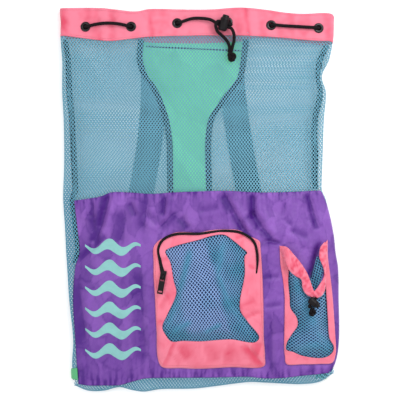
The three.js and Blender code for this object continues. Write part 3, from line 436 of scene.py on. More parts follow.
# Side pocket: pink edge strips, then the pink cinch channel, upper and lower edges
SIDE_STRIPS = table(
    Ring,
    (131.5, -74.7, 134, -80),
    (132.8, -105.6, 146, -113),
    (137.1, -132, 145.2, -132),
    (139.8, -160.9, 147.7, -160),
    (139.7, -177, 149, -177),
    (139.6, -193, 159.5, -193),
    (139.5, -206, 161, -206),
    (139.4, -220, 152, -220),
    (139.4, -236, 143, -235.5),
    (139.8, -247, 142.5, -246.5),
    (140.8, -258, 154.3, -250.3),
    (143.4, -270.3, 160, -253),
    (169, -270.9, 170, -256.8),
    (198, -270.3, 200, -260.6),
    (219, -268.3, 213, -257),
    (224, -256, 220, -250),
    (225, -246, 221.5, -241),
    (224, -226, 214.5, -228),
    (221.8, -193, 211.4, -193),
    (219.4, -160.9, 209.2, -160.9),
    (215.3, -123.8, 206.5, -126),
    (211.5, -94, 206, -98),
    (211, -66, 206, -72),
)
STRIP_LOW = 2.4
STRIP_HIGH = 5.6
RIM = table(
    Ring,
    (132, -75, 133.5, -84),
    (142.7, -76.9, 140, -102),
    (154.3, -89.1, 147, -115.5),
    (165.2, -102.3, 156, -123.8),
    (175.7, -118.8, 166, -130),
    (180.7, -131.3, 168, -143),
    (184.5, -142, 172.4, -152),
    (187.3, -148.5, 180.7, -158),
    (191, -145.5, 193, -160),
    (198.2, -135.3, 200.5, -156.4),
    (203.5, -125.5, 205.4, -147.7),
    (203, -110, 207.1, -132),
    (196.5, -95, 207.5, -108),
    (198.2, -78, 209.5, -88),
    (206, -69, 211, -72),
)
RIM_HEIGHT = 11
RIM_END_HEIGHT = 5
RIM_ARCH = 12
RIM_HALF = 2.6
POUCH_EDGE = 1.4
POUCH_BULGE = 15
INNER_NET = table(
    Edge,
    (180, -134),
    (184.8, -120.5),
    (190, -106),
    (193, -94),
    (202, -92),
    (203.5, -106),
    (203, -122),
    (197, -138),
    (188, -152),
    (181, -142),
)

# Shoulder straps underneath
Strap = namedtuple("Strap", "y left right")
STRAPS = table(
    Strap,
    (-130, -121, 106),
    (13, -96.5, 81.7),
    (90, -83.5, 68),
    (165, -76.7, 57),
    (257, -76.7, 50),
)
STRAP_TOP = 257
STRAP_LOW = -130
STRAP_HALF = 21
STRAP_END_HALF = 14
STRAP_TAPER = 40
STRAP_THICK = 7
WEBBING_WIDTH = 25
WEBBING_THICK = 1.5
Adjuster = namedtuple("Adjuster", "wide long thick slot_wide slot_long slot_apart")
ADJUSTER = Adjuster(34, 22, 3, 26, 4.5, 10)
ADJUSTER_Y = -150
ADJUSTER_EDGE = 0.8
WEBBING_END = {"left": (-186, -276), "right": (187, -276)}
TAB_LOW = -297
TAB_TOP = -277
TAB_LIFT = 2.1
TAB_UNDER = 12
TAB_PINCH = 2.4

# Camera, light and floor, in metres: the picture's width covers this much of the floor
VIEW_WIDTH = 0.66
VIEW_CENTRE_X = 0.0008
CAMERA_AWAY = 3.2
CAMERA_SENSOR = 36
VIEW_HEIGHT = 0.02
SKY_STRENGTH = 0.98
FLOOR_HALF = 10
Lamp = namedtuple("Lamp", "name x y z size power")
LAMPS = table(
    Lamp,
    ("Key", 0.95, 0.9, 1.5, 0.9, 21),
    ("Fill", -1.1, -0.3, 1.7, 1.2, 8.6),
)


def srgb(red, green, blue):
    """A screen colour, 0 to 255, as linear light."""
    return tuple(((part / 255 + 0.055) / 1.055) ** 2.4 for part in (red, green, blue))


def lerp(low, high, part):
    return low + (high - low) * part


def clamp(value, low=0.0, high=1.0):
    return min(max(value, low), high)


def smoothstep(value, low, high):
    part = clamp((value - low) / (high - low))
    return part * part * (3 - 2 * part)


def wrinkle(x, y, size, seed):
    """Smooth noise from -1 to 1 over the given size."""
    return noise.noise(Vector((x / size, y / size, seed)))


def table_curve(rows, key, value):
    """A smooth curve through two columns of a table, level beyond its ends."""
    keys = [getattr(row, key) for row in rows]
    values = [getattr(row, value) for row in rows]
    last = len(keys) - 1
    slopes = []
    for i in range(last + 1):
        low, high = max(i - 1, 0), min(i + 1, last)
        slopes.append((values[high] - values[low]) / (keys[high] - keys[low]))

    def at(place):
        place = clamp(place, keys[0], keys[-1])
        i = clamp(bisect.bisect_right(keys, place) - 1, 0, last - 1)
        step = keys[i + 1] - keys[i]
        t = (place - keys[i]) / step
        start = (1 + 2 * t) * (1 - t) ** 2 * values[i] + t * (1 - t) ** 2 * step * slopes[i]
        end = t * t * (3 - 2 * t) * values[i + 1] + t * t * (t - 1) * step * slopes[i + 1]
        return start + end

    return at


left_at = table_curve(SIDES, "y", "left")
right_at = table_curve(SIDES, "y", "right")
flap_left_at = table_curve(SIDES, "y", "flap_left")
flap_right_at = table_curve(SIDES, "y", "flap_right")
base_fold_at = table_curve(BASE, "x", "fold")
base_seam_at = table_curve(BASE, "x", "seam")
panel_top_at = table_curve(PANEL_TOP, "x", "y")
hem_top_at = table_curve(HEM, "x", "top")
hem_low_at = table_curve(HEM, "x", "low")
hem_back_at = table_curve(HEM_BACK, "x", "y")
yoke_left_at = table_curve(YOKE, "y", "left")
yoke_right_at = table_curve(YOKE, "y", "right")
strap_at = {side: table_curve(STRAPS, "y", side) for side in ("left", "right")}


def curve_point(ends, knots, at):
    """A point of the curve between the middle two of four points."""
    one = lerp(ends[0], ends[1], (at - knots[0]) / (knots[1] - knots[0]))
    two = lerp(ends[1], ends[2], (at - knots[1]) / (knots[2] - knots[1]))
    three = lerp(ends[2], ends[3], (at - knots[2]) / (knots[3] - knots[2]))
    first = lerp(one, two, (at - knots[0]) / (knots[2] - knots[0]))
    second = lerp(two, three, (at - knots[1]) / (knots[3] - knots[1]))
    return lerp(first, second, (at - knots[1]) / (knots[2] - knots[1]))


def smooth_path(points, per, closed=False):
    """Points along a smooth curve through the given ones, with per steps between each two."""
    count = len(points)
    made = []
    for i in range(count if closed else count - 1):
        here, there = points[i], points[(i + 1) % count]
        before = points[i - 1] if closed or i > 0 else here * 2 - there
        after = points[(i + 2) % count] if closed or i + 2 < count else there * 2 - here
        ends = (before, here, there, after)
        knots = [0.0]
        for a, b in zip(ends, ends[1:]):
            knots.append(knots[-1] + math.sqrt(max((b - a).length, 1e-6)))
        for k in range(per):
            made.append(curve_point(ends, knots, lerp(knots[1], knots[2], k / per)))
    if not closed:
        made.append(points[-1].copy())
    return made


def path_at(path, part):
    """A point of a list of points, by its share of the list."""
    place = clamp(part) * (len(path) - 1)
    i = min(int(place), len(path) - 2)
    return path[i].lerp(path[i + 1], place - i)


def plan_path(rows, x, y, per, closed=False):
    """A smooth path through two columns of a table, flat in plan."""
    points = [Vector((getattr(row, x), getattr(row, y), 0)) for row in rows]
    path = smooth_path(points, per, closed)
    return path + path[:1] if closed else path


def front_height(x, y):
    """Middle of the front wall above the floor."""
    fold_left = left_at(y) + FOLD_RADIUS
    fold_right = right_at(y) - FOLD_RADIUS
    past = clamp(max(fold_left - x, x - fold_right), 0, FOLD_RADIUS)
    drop = FOLD_RADIUS - math.sqrt(FOLD_RADIUS**2 - past**2)
    middle = (fold_left + fold_right) / 2
    across = min(abs(x - middle) / (fold_right - middle), 1)
    crown = 1 - across**CROWN_POWER
    above_base = smoothstep(y - base_fold_at(x) - FOLD_RADIUS, 0, BASE_RISE)
    below_mouth = lerp(MOUTH_LOFT, 1, smoothstep(MOUTH_TOP - y, 0, MOUTH_DROP))
    return BACK_HEIGHT + 2 * FOLD_RADIUS - drop + FRONT_LOFT * crown * above_base * below_mouth


def back_height(x, y):
    """Middle of the back wall above the floor, raised where it lies over the straps."""
    mouth = smoothstep(y, MOUTH_LIFT_LOW, MOUTH_LIFT_TOP)
    off = abs(x - lerp(LIFT_CENTRE, MOUTH_LIFT_CENTRE, mouth))
    reach = lerp(LIFT_REACH, MOUTH_LIFT_REACH, mouth)
    slope = lerp(LIFT_SLOPE, MOUTH_LIFT_SLOPE, mouth)
    along = smoothstep(y, LIFT_LOW, LIFT_LOW + LIFT_LOW_SLOPE)
    return BACK_HEIGHT + STRAP_LIFT * (1 - smoothstep(off, reach, reach + slope)) * along


def above_front(x, y, rise):
    return Vector((x, y, front_height(x, y) + rise))


def front_span(y):
    return right_at(y) - left_at(y) - 2 * FOLD_RADIUS


def fold_arc(distance):
    """How far out and up from a fold's axis a place lies, by its distance round the fold."""
    angle = distance / FOLD_RADIUS
    return FOLD_RADIUS * math.sin(angle), FOLD_RADIUS * math.cos(angle)


def sack_point(distance, y):
    """A point of the sack, by its distance round the girth from the left fold's top line."""
    fold_left = left_at(y) + FOLD_RADIUS
    fold_right = right_at(y) - FOLD_RADIUS
    front = fold_right - fold_left
    at = distance % (2 * front + 2 * FOLD_BEND)
    if at <= front:
        return above_front(fold_left + at, y, 0)
    if at < front + FOLD_BEND:
        out, up = fold_arc(at - front)
        return Vector((fold_right + out, y, FOLD_AXIS + up))
    if at <= 2 * front + FOLD_BEND:
        x = fold_right - (at - front - FOLD_BEND)
        return Vector((x, y, back_height(x, y)))
    out, up = fold_arc(at - 2 * front - FOLD_BEND)
    return Vector((fold_left - out, y, FOLD_AXIS - up))


def flap_turn(flap):
    """How far round the fold a seam lies, from its flap as seen in plan."""
    if flap >= FOLD_RADIUS:
        return FOLD_RADIUS - flap
    angle = math.asin((FOLD_RADIUS - abs(flap)) / FOLD_RADIUS)
    return FOLD_RADIUS * (angle if flap >= 0 else math.pi - angle)


def left_seam(y):
    return -flap_turn(flap_left_at(y))


def right_seam(y):
    return front_span(y) + flap_turn(flap_right_at(y))


def back_round(x, y):
    """Distance round the girth, leftwards, of a place on the back wall."""
    return -FOLD_BEND - (x - left_at(y) - FOLD_RADIUS)


def raised(place, u, v, lift, step=0.002):
    """A point of a surface, lifted along the surface's outward direction."""
    along = place(u + step, v) - place(u - step, v)
    up = place(u, v + step) - place(u, v - step)
    return place(u, v) + along.cross(up).normalized() * lift


def settle(start_x, spot_at):
    """A point whose edges depend on its own place across, found in a few tries."""
    spot = spot_at(start_x)
    for _ in range(4):
        spot = spot_at(spot.x)
    return spot


def pocket_cover(x, y):
    """One under the zip pocket and the lower side pocket, none elsewhere."""
    zip_cover = min(
        smoothstep(x, -80, -70),
        1 - smoothstep(x, 102, 110),
        smoothstep(y, -284, -274),
        1 - smoothstep(y, -58, -48),
    )
    side_cover = min(smoothstep(x, 130, 138), smoothstep(y, -278, -270), 1 - smoothstep(y, -150, -135))
    return max(zip_cover, side_cover)


def fold_place(fold, x, y):
    """How strong a fold is beside a place, and the way there from its line in half widths."""
    way_x, way_y = fold.to_x - fold.from_x, fold.to_y - fold.from_y
    length = math.hypot(way_x, way_y)
    part = ((x - fold.from_x) * way_x + (y - fold.from_y) * way_y) / length**2
    if not -FOLD_FADE < part < 1 + FOLD_FADE:
        return 0, 0
    off = ((x - fold.from_x) * way_y - (y - fold.from_y) * way_x) / length / fold.width
    return smoothstep(part, -FOLD_FADE, 0.15) * (1 - smoothstep(part, 0.85, 1 + FOLD_FADE)), off


def fold_relief(folds, x, y):
    """How far named folds lift or sink their cloth at a place."""
    lift = 0
    for fold in folds:
        fade, off = fold_place(fold, x, y)
        if fade > 0 and abs(off) < 4:
            ridge_off = off - math.copysign(FOLD_RIDGE_AWAY, fold.ridge)
            lift += fade * (abs(fold.ridge) * math.exp(-ridge_off**2) - fold.depth * math.exp(-off**2))
    return lift


def fold_shade_depth(folds, x, y, deep):
    """How deep the painted shade of named folds is at a place: sharp beside their ridge and soft the other
    way.
    """
    tone = 0
    for fold in folds:
        fade, off = fold_place(fold, x, y)
        if fade > 0:
            away = -math.copysign(off, off * fold.ridge)
            side = smoothstep(away, -0.7, -0.2) * (1 - smoothstep(away, 0.6, FOLD_SHADE_REACH))
            tone = max(tone, side * fade * min(fold.depth / deep, 1))
    return tone


def net_band(x, y):
    """How far the pockets' slack net lies doubled along a ridge, from none to one."""
    bands = [fold_place(band, x, y) for band in NET_BANDS]
    return max(fade * math.exp(-off * off) for fade, off in bands)


def panel_edges(x, y):
    """Distances from the front panel's top, base and nearer side edges."""
    from_left = x - left_at(y) - flap_left_at(y)
    from_right = right_at(y) - max(flap_right_at(y), -4) - x
    return max(panel_top_at(x) - y, 0), max(y - base_seam_at(x), 0), min(from_left, from_right)


def panel_relief(x, y):
    """How far the front panel's folds, gathers and creases stand off its middle."""
    below_top, above_low, inward = panel_edges(x, y)
    gather = 1.7 * wrinkle(x, 0, 5, 3) + 1.8 * wrinkle(x, 0, 12, 4)
    top = gather * (1 - math.exp(-below_top / 3)) * math.exp(-below_top / 13)
    pucker = 2.2 * wrinkle(x, 0, 6, 5) + 2.6 * wrinkle(x, 0, 15, 6)
    low = pucker * (1 - math.exp(-above_low / 4)) * math.exp(-above_low / 14)
    creases = 1 - 2 * abs(wrinkle(x + 0.3 * y, y, 46, 7))
    crumple = 1.3 * creases + 1.1 * wrinkle(x, 0.6 * y, 24, 8) + 0.5 * wrinkle(x, y, 11, 9)
    inland = smoothstep(below_top, 0, 12) * smoothstep(above_low, 0, 12)
    free = 1 - pocket_cover(x, y)
    folds = fold_relief(FOLDS, x, y) * smoothstep(below_top, 0, 9)
    relief = (folds + crumple * inland) * free + top + low * lerp(0.4, 1, free)
    return relief * smoothstep(inward, 0, 10)


def facet_shade(x, y, wide, high, seed):
    """A flat painted shade for each facet of crumpled cloth, from none to one, and a painted crease line
    between facets.
    """
    bent_x = x + 0.4 * wide * wrinkle(x, y, wide, seed)
    bent_y = y + 0.4 * wide * wrinkle(x, y, wide, seed + 1)
    away, middles = noise.voronoi(Vector((bent_x / wide, bent_y / high, seed)))
    tone = smoothstep(noise.noise(middles[0] * 3.7), -0.3, 0.3)
    return tone, math.exp(-(((away[1] - away[0]) / 0.07) ** 2))


def panel_shade_depth(x, y):
    """How far the front panel is darkened by painted shade in its folds, gathers and crumpled facets, along
    its side edges and between the pockets, from none to one.
    """
    below_top, above_low, inward = panel_edges(x, y)
    folds = 0.85 * fold_shade_depth(FOLDS, x, y, PANEL_FOLD_FULL_SHADE)
    top = smoothstep(-wrinkle(x, 0.1 * y, 4, 3), 0.02, 0.25) * math.exp(-below_top / 7)
    low = smoothstep(-wrinkle(x, 0.12 * y, 5, 5), -0.02, 0.22) * math.exp(-above_low / 13)
    tone, crease = facet_shade(x, y, 21, 46, 65)
    small, line = facet_shade(x, y, 9, 19, 71)
    crumple = 0.32 * tone + 0.16 * crease + 0.14 * small + 0.06 * line
    left_shade = 0.16 * (1 - smoothstep(x, -110, -60)) + 0.24 * (1 - smoothstep(inward, 4, 34)) * (x < 0)
    left_shade *= 1 - smoothstep(y, -130, -40)
    right_shade = 0.32 * (1 - smoothstep(inward, 4, 18)) * (1 - smoothstep(y, -100, -60)) * (x > 0)
    between = 0.14 * smoothstep(x, 98, 108) * (1 - smoothstep(x, 132, 146)) * (1 - smoothstep(y, -76, -60))
    return folds + 0.7 * top + 0.8 * low + crumple + left_shade + right_shade + between


def hem_low(x, turned):
    return lerp(hem_low_at(x), hem_back_at(x), turned)


def inside_outline(outline):
    """A test of whether a place lies inside a closed outline."""
    corners = [(row.x, row.y) for row in outline]

    def test(x, y):
        inside = False
        for (ax, ay), (bx, by) in zip(corners, corners[1:] + corners[:1]):
            if (ay > y) != (by > y) and x < ax + (y - ay) * (bx - ax) / (by - ay):
                inside = not inside
        return inside

    return test


def outline_distance(outline):
    """The distance from a place to a closed outline."""
    corners = [Vector((row.x, row.y)) for row in outline]
    sides = list(zip(corners, corners[1:] + corners[:1]))

    def distance(x, y):
        spot = Vector((x, y))
        least = 1e9
        for a, b in sides:
            way = b - a
            part = clamp((spot - a).dot(way) / way.length_squared)
            least = min(least, (spot - a - way * part).length)
        return least

    return distance


def length_property(name, description, metres):
    return FloatProperty(name=name, description=description, default=metres, unit="LENGTH")


class BackpackSizes(bpy.types.PropertyGroup):
    """Sizes of the backpack's cloth, nets and cords."""

    net_across: length_property("Net cell across", "Width of one diamond of the net", 0.00505)
    net_along: length_property("Net cell along", "Height of one diamond of the net", 0.00675)
    net_strand: length_property("Half strand", "Half the strand between two holes of the net", 0.00046)
    net_thick: length_property("Net thickness", "Thickness of the net", 0.0009)
    pocket_net: FloatProperty(
        name="Pocket net scale",
        description="Cell of the pocket nets as a share of the large net's",
        default=1,
        subtype="FACTOR",
    )
    pocket_strand: length_property("Half pocket strand", "Half the strand of the pocket nets", 0.00052)
    cloth_thick: length_property("Cloth thickness", "Thickness of the nylon", 0.0007)
    hem_thick: length_property("Hem thickness", "Thickness of the folded hem", 0.002)
    tape_thick: length_property("Tape thickness", "Thickness of the seam tape", 0.0008)
    cord_diameter: length_property("Drawcord diameter", "Diameter of the drawcord", 0.0054)
    pocket_cord_diameter: length_property("Pocket cord", "Diameter of the side pocket's cord", 0.0042)
    panel_columns: IntProperty(
        name="Panel columns", description="Steps across the front panel", default=220, min=40
    )
    panel_rows: IntProperty(
        name="Panel rows", description="Steps up the front panel", default=150, min=30
    )


def colour_property(name, description, red, green, blue):
    return FloatVectorProperty(
        name=name,
        description=description,
        default=srgb(red, green, blue),
        subtype="COLOR",
        size=3,
        min=0,
        max=1,
    )


class BackpackColours(bpy.types.PropertyGroup):
    """Colours of the backpack's cloth and hardware, and the painted shade colours of its folds and pockets.
    """

    net: colour_property("Net", "Yarn of the large net", 103, 164, 187)
    # Painted shade: the nets' yarn as it looks in the shade of its folds, also painted onto the front panel
    # as a doubled pocket net
    net_in_shade: colour_property("Net folds", "Nets where they fold over themselves", 58, 134, 166)
    pocket_net: colour_property("Pocket net", "Yarn of the pocket nets", 124, 156, 206)
    pocket_shade: colour_property("Pocket shade", "Front panel in the shade of the pockets", 32, 52, 98)
    panel: colour_property("Front panel", "Purple nylon", 124, 76, 164)
    # Painted shade: the purple nylon in the shade of its folds
    panel_in_shade: colour_property("Panel folds", "Purple nylon deep in its folds", 62, 8, 112)
    print: colour_property("Print", "Ripple print on the front panel", 120, 174, 172)
    pink: colour_property("Pink cloth", "Hem and pocket edges", 218, 113, 135)
    # Painted shade: the pink cloth in the shade of its folds, creases and puckers
    pink_in_shade: colour_property("Pink folds", "Pink cloth deep in its folds", 198, 60, 88)
    yoke: colour_property("Yoke", "Mint cloth of the back yoke", 122, 232, 163)
    # Painted shade: the mint yoke in the shade of its folds
    yoke_in_shade: colour_property("Yoke folds", "Mint cloth of the yoke in its folds", 90, 186, 128)
    tab: colour_property("Tab", "Green corner tabs", 75, 156, 106)
    black: colour_property("Black", "Tapes, cords and plastic", 14, 10, 13)
    strap: colour_property("Strap", "Mesh of the shoulder straps", 46, 80, 96)


class Value:
    """A socket of a material's nodes, used in plain arithmetic."""

    def __init__(self, finish, socket):
        self.finish = finish
        self.socket = socket

    def worked(self, operation, *parts):
        return self.finish.node("ShaderNodeMath", {"operation": operation}, dict(enumerate(parts)))

    def __add__(self, other):
        return self.worked("ADD", self, other)

    def __radd__(self, other):
        return self.worked("ADD", other, self)

    def __sub__(self, other):
        return self.worked("SUBTRACT", self, other)

    def __rsub__(self, other):
        return self.worked("SUBTRACT", other, self)

    def __mul__(self, other):
        return self.worked("MULTIPLY", self, other)

    def __rmul__(self, other):
        return self.worked("MULTIPLY", other, self)

    def __truediv__(self, other):
        return self.worked("DIVIDE", self, other)

    def __lt__(self, other):
        return self.worked("LESS_THAN", self, other)

    def __gt__(self, other):
        return self.worked("GREATER_THAN", self, other)

    def __abs__(self):
        return self.worked("ABSOLUTE", self)


class Finish:
    """One material: its nodes come from the one method here."""

    def __init__(self, name):
        self.material = bpy.data.materials.new(name)
        self.material.use_nodes = True
        self.tree = self.material.node_tree
        self.coords = {}

    def fill(self, made, inputs):
        for name, value in inputs.items():
            if isinstance(value, Value):
                self.tree.links.new(value.socket, made.inputs[name])
            else:
                made.inputs[name].default_value = value

    def node(self, kind, settings=None, inputs=None, out=0):
        """Adds a node: its settings first, then the values or links of its sockets."""
        made = self.tree.nodes.new(kind)
        for name, value in (settings or {}).items():
            setattr(made, name, value)
        self.fill(made, inputs or {})
        return Value(self, made.outputs[out])

    def maths(self, operation, value):
        return self.node("ShaderNodeMath", {"operation": operation}, {0: value})

    def coord(self, kind):
        """Object or UV coordinates, read once."""
        if kind not in self.coords:
            self.coords[kind] = self.node("ShaderNodeTexCoord", out=kind)
        return self.coords[kind]

    def axes(self, kind):
        parts = self.node("ShaderNodeSeparateXYZ", inputs={0: self.coord(kind)})
        names = parts.socket.node.outputs
        return Value(self, names[0]), Value(self, names[1])

    def noise(self, scale, detail=2.0, kind="Object"):
        sockets = {"Vector": self.coord(kind), "Scale": scale, "Detail": detail}
        return self.node("ShaderNodeTexNoise", inputs=sockets)

    def wave(self, scale, direction, kind="Object"):
        settings = {"wave_type": "BANDS", "bands_direction": direction}
        sockets = {"Vector": self.coord(kind), "Scale": scale}
        return self.node("ShaderNodeTexWave", settings, sockets, out=1)

    def attribute(self, name):
        """A value kept with each vertex of a mesh, none where a mesh lacks it."""
        return self.node("ShaderNodeAttribute", {"attribute_name": name}, out=2)

    def mix(self, part, first, second):
        sockets = {0: part, 6: first, 7: second}
        return self.node("ShaderNodeMix", {"data_type": "RGBA"}, sockets, out=2)

    def bump(self, height, strength, distance):
        sockets = {"Height": height, "Strength": strength, "Distance": distance}
        return self.node("ShaderNodeBump", inputs=sockets)

    def surface(self, inputs):
        """Sets the surface shader's sockets and returns the material."""
        self.fill(self.tree.nodes["Principled BSDF"], inputs)
        return self.material


def shade(colour, part):
    """A colour made darker or lighter, with its alpha."""
    return tuple(clamp(channel * part) for channel in colour) + (1.0,)


# A wave texture of scale one has bands this far apart, in metres
WAVE_SPAN = 0.314


def net_finish(name, colour, folded):
    """Knitted polyester yarn: fine loops, a slow change of tone, and painted shade where the fold attribute
    mixes in the shade colour.
    """
    finish = Finish(name)
    loops = finish.wave(WAVE_SPAN / 0.0007, "DIAGONAL")
    tone = finish.noise(22) * 0.6 + finish.noise(700) * 0.4
    yarn = finish.mix(tone, shade(colour, 0.84), shade(colour, 1.16))
    # Painted shade: the fold attribute mixes the yarn towards the net's shade colour
    return finish.surface({
        "Base Color": finish.mix(finish.attribute("fold"), yarn, shade(folded, 1)),
        "Roughness": 0.62,
        "Specular IOR Level": 0.35,
        "Sheen Weight": 0.25,
        "Normal": finish.bump(loops, 0.35, 0.0002),
    })


# Ripple print: its rows stand over each other, sizes in metres and widths as shares of a row
RIPPLE_LONG = 0.046
RIPPLE_SWELL = 0.006
RIPPLE_LOW = -0.268
RIPPLE_PITCH = 0.0345
RIPPLE_MIDDLE = -0.1425
RIPPLE_REACH = 0.046
RIPPLE_THIN = 0.05
RIPPLE_FULL = 0.24
RIPPLE_ROWS = 6


def ripple_mask(finish):
    """Generic water ripples on the left of the front panel."""
    x, y = finish.axes("Object")
    swell = finish.maths("SINE", x * (2 * math.pi / RIPPLE_LONG))
    row = (y + swell * RIPPLE_SWELL - RIPPLE_LOW) / RIPPLE_PITCH
    part = finish.maths("FRACT", row)
    taper = 1 - abs(x - RIPPLE_MIDDLE) / RIPPLE_REACH
    band = abs(part - 0.5) < (RIPPLE_THIN + taper * RIPPLE_FULL)
    return band * (taper > 0) * (row > 0) * (row < RIPPLE_ROWS)


def panel_finish(colours):
    """Light purple nylon: a tight weave, crinkles and the ripple print, with painted shade in its folds and
    under the pockets.
    """
    finish = Finish("panel_nylon")
    weave = finish.wave(WAVE_SPAN / 0.0009, "X") + finish.wave(WAVE_SPAN / 0.0009, "Y")
    crinkle = finish.noise(95, 3)
    tone = finish.noise(16) * 0.7 + crinkle * 0.3
    cloth = finish.mix(tone, shade(colours.panel, 0.8), shade(colours.panel, 1.2))
    # Painted shade: darker in folds, gathers, facets and along the panel's edges
    cloth = finish.mix(finish.attribute("fold"), cloth, shade(colours.panel_in_shade, 1))
    # Painted shade under the pockets' nets, and a doubled pocket net painted on there in its shaded colour
    cloth = finish.mix(finish.attribute("shade"), cloth, shade(colours.pocket_shade, 1))
    cloth = finish.mix(finish.attribute("doubled"), cloth, shade(colours.net_in_shade, 1))
    ink = finish.mix(crinkle, shade(colours.print, 0.88), shade(colours.print, 1.08))
    mask = ripple_mask(finish)
    height = crinkle * 1.6 + weave * 0.04 + mask * 0.08
    return finish.surface({
        "Base Color": finish.mix(mask, cloth, ink),
        "Roughness": 0.5 - mask * 0.08 + (crinkle - 0.5) * 0.15,
        "Specular IOR Level": 0.3,
        "Sheen Weight": 0.06,
        "Normal": finish.bump(height, 0.6, 0.0016),
    })


def cloth_finish(name, colour, pitch, rough, low=0.88, high=1.1, crease=0.35, deep=None):
    """Woven cloth with a fine weave, soft creases, a slow change of tone, and painted shade in its folds
    where the fold attribute mixes in the deep colour.
    """
    finish = Finish(name)
    weave = finish.wave(WAVE_SPAN / pitch, "X") + finish.wave(WAVE_SPAN / pitch, "Y")
    folds = finish.noise(60, 3)
    tone = finish.noise(24) * 0.6 + folds * 0.3 + weave * 0.05
    cloth = finish.mix(tone, shade(colour, low), shade(colour, high))
    # Painted shade: the fold attribute mixes in the deep colour
    return finish.surface({
        "Base Color": finish.mix(finish.attribute("fold"), cloth, shade(deep or colour, 1)),
        "Roughness": rough + (folds - 0.5) * 0.15,
        "Specular IOR Level": 0.3,
        "Sheen Weight": 0.3,
        "Normal": finish.bump(folds * 1.2 + weave * 0.08, crease, 0.0012),
    })


def tape_finish(name, colour, pitch, rough=0.75):
    """Ribbed tape or webbing: cross ribs and a worn, greyer edge."""
    finish = Finish(name)
    across, along = finish.axes("UV")
    rib = finish.maths("SINE", along * (2 * math.pi / pitch))
    edge = abs(across - 0.5) * 2
    wear = (edge > 0.86) * finish.noise(300)
    tone = finish.noise(160) * 0.6 + rib * 0.15 + wear * 0.4
    return finish.surface({
        "Base Color": finish.mix(tone, shade(colour, 0.7), shade(colour, 2.2)),
        "Roughness": rough,
        "Specular IOR Level": 0.08,
        "Normal": finish.bump(rib, 0.5, 0.0003),
    })


def cord_finish(name, colour):
    """Braided cord: two sets of strands that cross along the cord."""
    finish = Finish(name)
    turn, along = finish.axes("UV")
    one = finish.maths("SINE", (along + turn * 2) * (2 * math.pi))
    two = finish.maths("SINE", (along - turn * 2) * (2 * math.pi))
    braid = one * two
    tone = braid * 0.25 + finish.noise(900) * 0.5 + 0.2
    return finish.surface({
        "Base Color": finish.mix(tone, shade(colour, 0.6), shade(colour, 2.6)),
        "Roughness": 0.7,
        "Specular IOR Level": 0.1,
        "Normal": finish.bump(braid, 0.7, 0.0005),
    })


def plastic_finish(name, colour, rough):
    """Moulded plastic: a fine grain and scuffed tone."""
    finish = Finish(name)
    grain = finish.noise(1800, 3)
    scuff = finish.noise(210, 4)
    return finish.surface({
        "Base Color": finish.mix(scuff, shade(colour, 0.7), shade(colour, 1.8)),
        "Roughness": rough + (scuff - 0.5) * 0.3,
        "Specular IOR Level": 0.16,
        "Normal": finish.bump(grain, 0.25, 0.0001),
    })


def metal_finish(name, colour):
    """Black coated brass: bright where the coat is rubbed."""
    finish = Finish(name)
    rubbed = finish.noise(420, 4)
    return finish.surface({
        "Base Color": finish.mix(rubbed, shade(colour, 0.8), shade(colour, 3.2)),
        "Metallic": 0.3,
        "Roughness": 0.14 + rubbed * 0.16,
        "Specular IOR Level": 0.4,
        "Normal": finish.bump(finish.noise(900, 2), 0.15, 0.0001),
    })


def strap_finish(colours):
    """Padded strap: spacer mesh in the middle, its holes painted darker as shade, and black binding down both
    edges.
    """
    finish = Finish("strap_mesh")
    around = finish.axes("UV")[0]
    sockets = {"Vector": finish.coord("Object"), "Scale": 420.0}
    holes = finish.node("ShaderNodeTexVoronoi", inputs=sockets)
    binding = abs(abs(around - 0.5) - 0.25) > 0.022
    # Painted shade: the spacer mesh is darker in its holes
    mesh = finish.mix(holes, shade(colours.strap, 0.35), shade(colours.strap, 1.1))
    colour = finish.mix(binding, mesh, shade(colours.black, 1))
    return finish.surface({
        "Base Color": colour,
        "Roughness": 0.8,
        "Sheen Weight": 0.3,
        "Normal": finish.bump(holes, 0.5, 0.0008),
    })


def floor_finish():
    """Pale matt paper."""
    finish = Finish("pale_floor")
    tone = finish.noise(3, 2)
    return finish.surface({
        "Base Color": finish.mix(tone, (0.94, 0.94, 0.94, 1), (0.97, 0.97, 0.97, 1)),
        "Roughness": 0.9,
        "Specular IOR Level": 0.1,
        "Emission Color": (1, 1, 1, 1),
        "Emission Strength": 0.08,
    })


FINISHES = {}


def finish_named(name):
    """A material of the backpack, made the first time that it is asked for."""
    colours = bpy.context.scene.backpack_colours
    black = colours.black
    makers = {
        "net": lambda: net_finish("net_yarn", colours.net, colours.net_in_shade),
        "pocket_net": lambda: net_finish("pocket_yarn", colours.pocket_net, colours.net_in_shade),
        "panel": lambda: panel_finish(colours),
        "pink": lambda: cloth_finish(
            "pink_polyester", colours.pink, 0.0009, 0.62, 0.93, 1.07, deep=colours.pink_in_shade
        ),
        "yoke": lambda: cloth_finish(
            "yoke_polyester", colours.yoke, 0.0009, 0.62, 0.86, 1.12, deep=colours.yoke_in_shade
        ),
        "tab": lambda: cloth_finish("tab_twill", colours.tab, 0.0012, 0.75),
        "tape": lambda: tape_finish("seam_tape", black, 0.012),
        "webbing": lambda: tape_finish("strap_webbing", black, 0.02),
        "cord": lambda: cord_finish("braided_cord", black),
        "lock": lambda: plastic_finish("lock_plastic", black, 0.42),
        "adjuster": lambda: plastic_finish("adjuster_plastic", black, 0.38),
        "zip": lambda: plastic_finish("zip_coil", black, 0.5),
        "eyelet": lambda: metal_finish("eyelet_metal", black),
        "strap": lambda: strap_finish(colours),
        "pink_thread": lambda: cloth_finish("pink_thread", colours.pink, 0.0004, 0.6, 0.8, 0.95),
        "black_thread": lambda: cloth_finish("black_thread", black, 0.0004, 0.7),
        "panel_thread": lambda: cloth_finish("panel_thread", colours.panel, 0.0004, 0.6, 0.6, 0.8),
    }
    if name not in FINISHES:
        FINISHES[name] = makers[name]()
    return FINISHES[name]


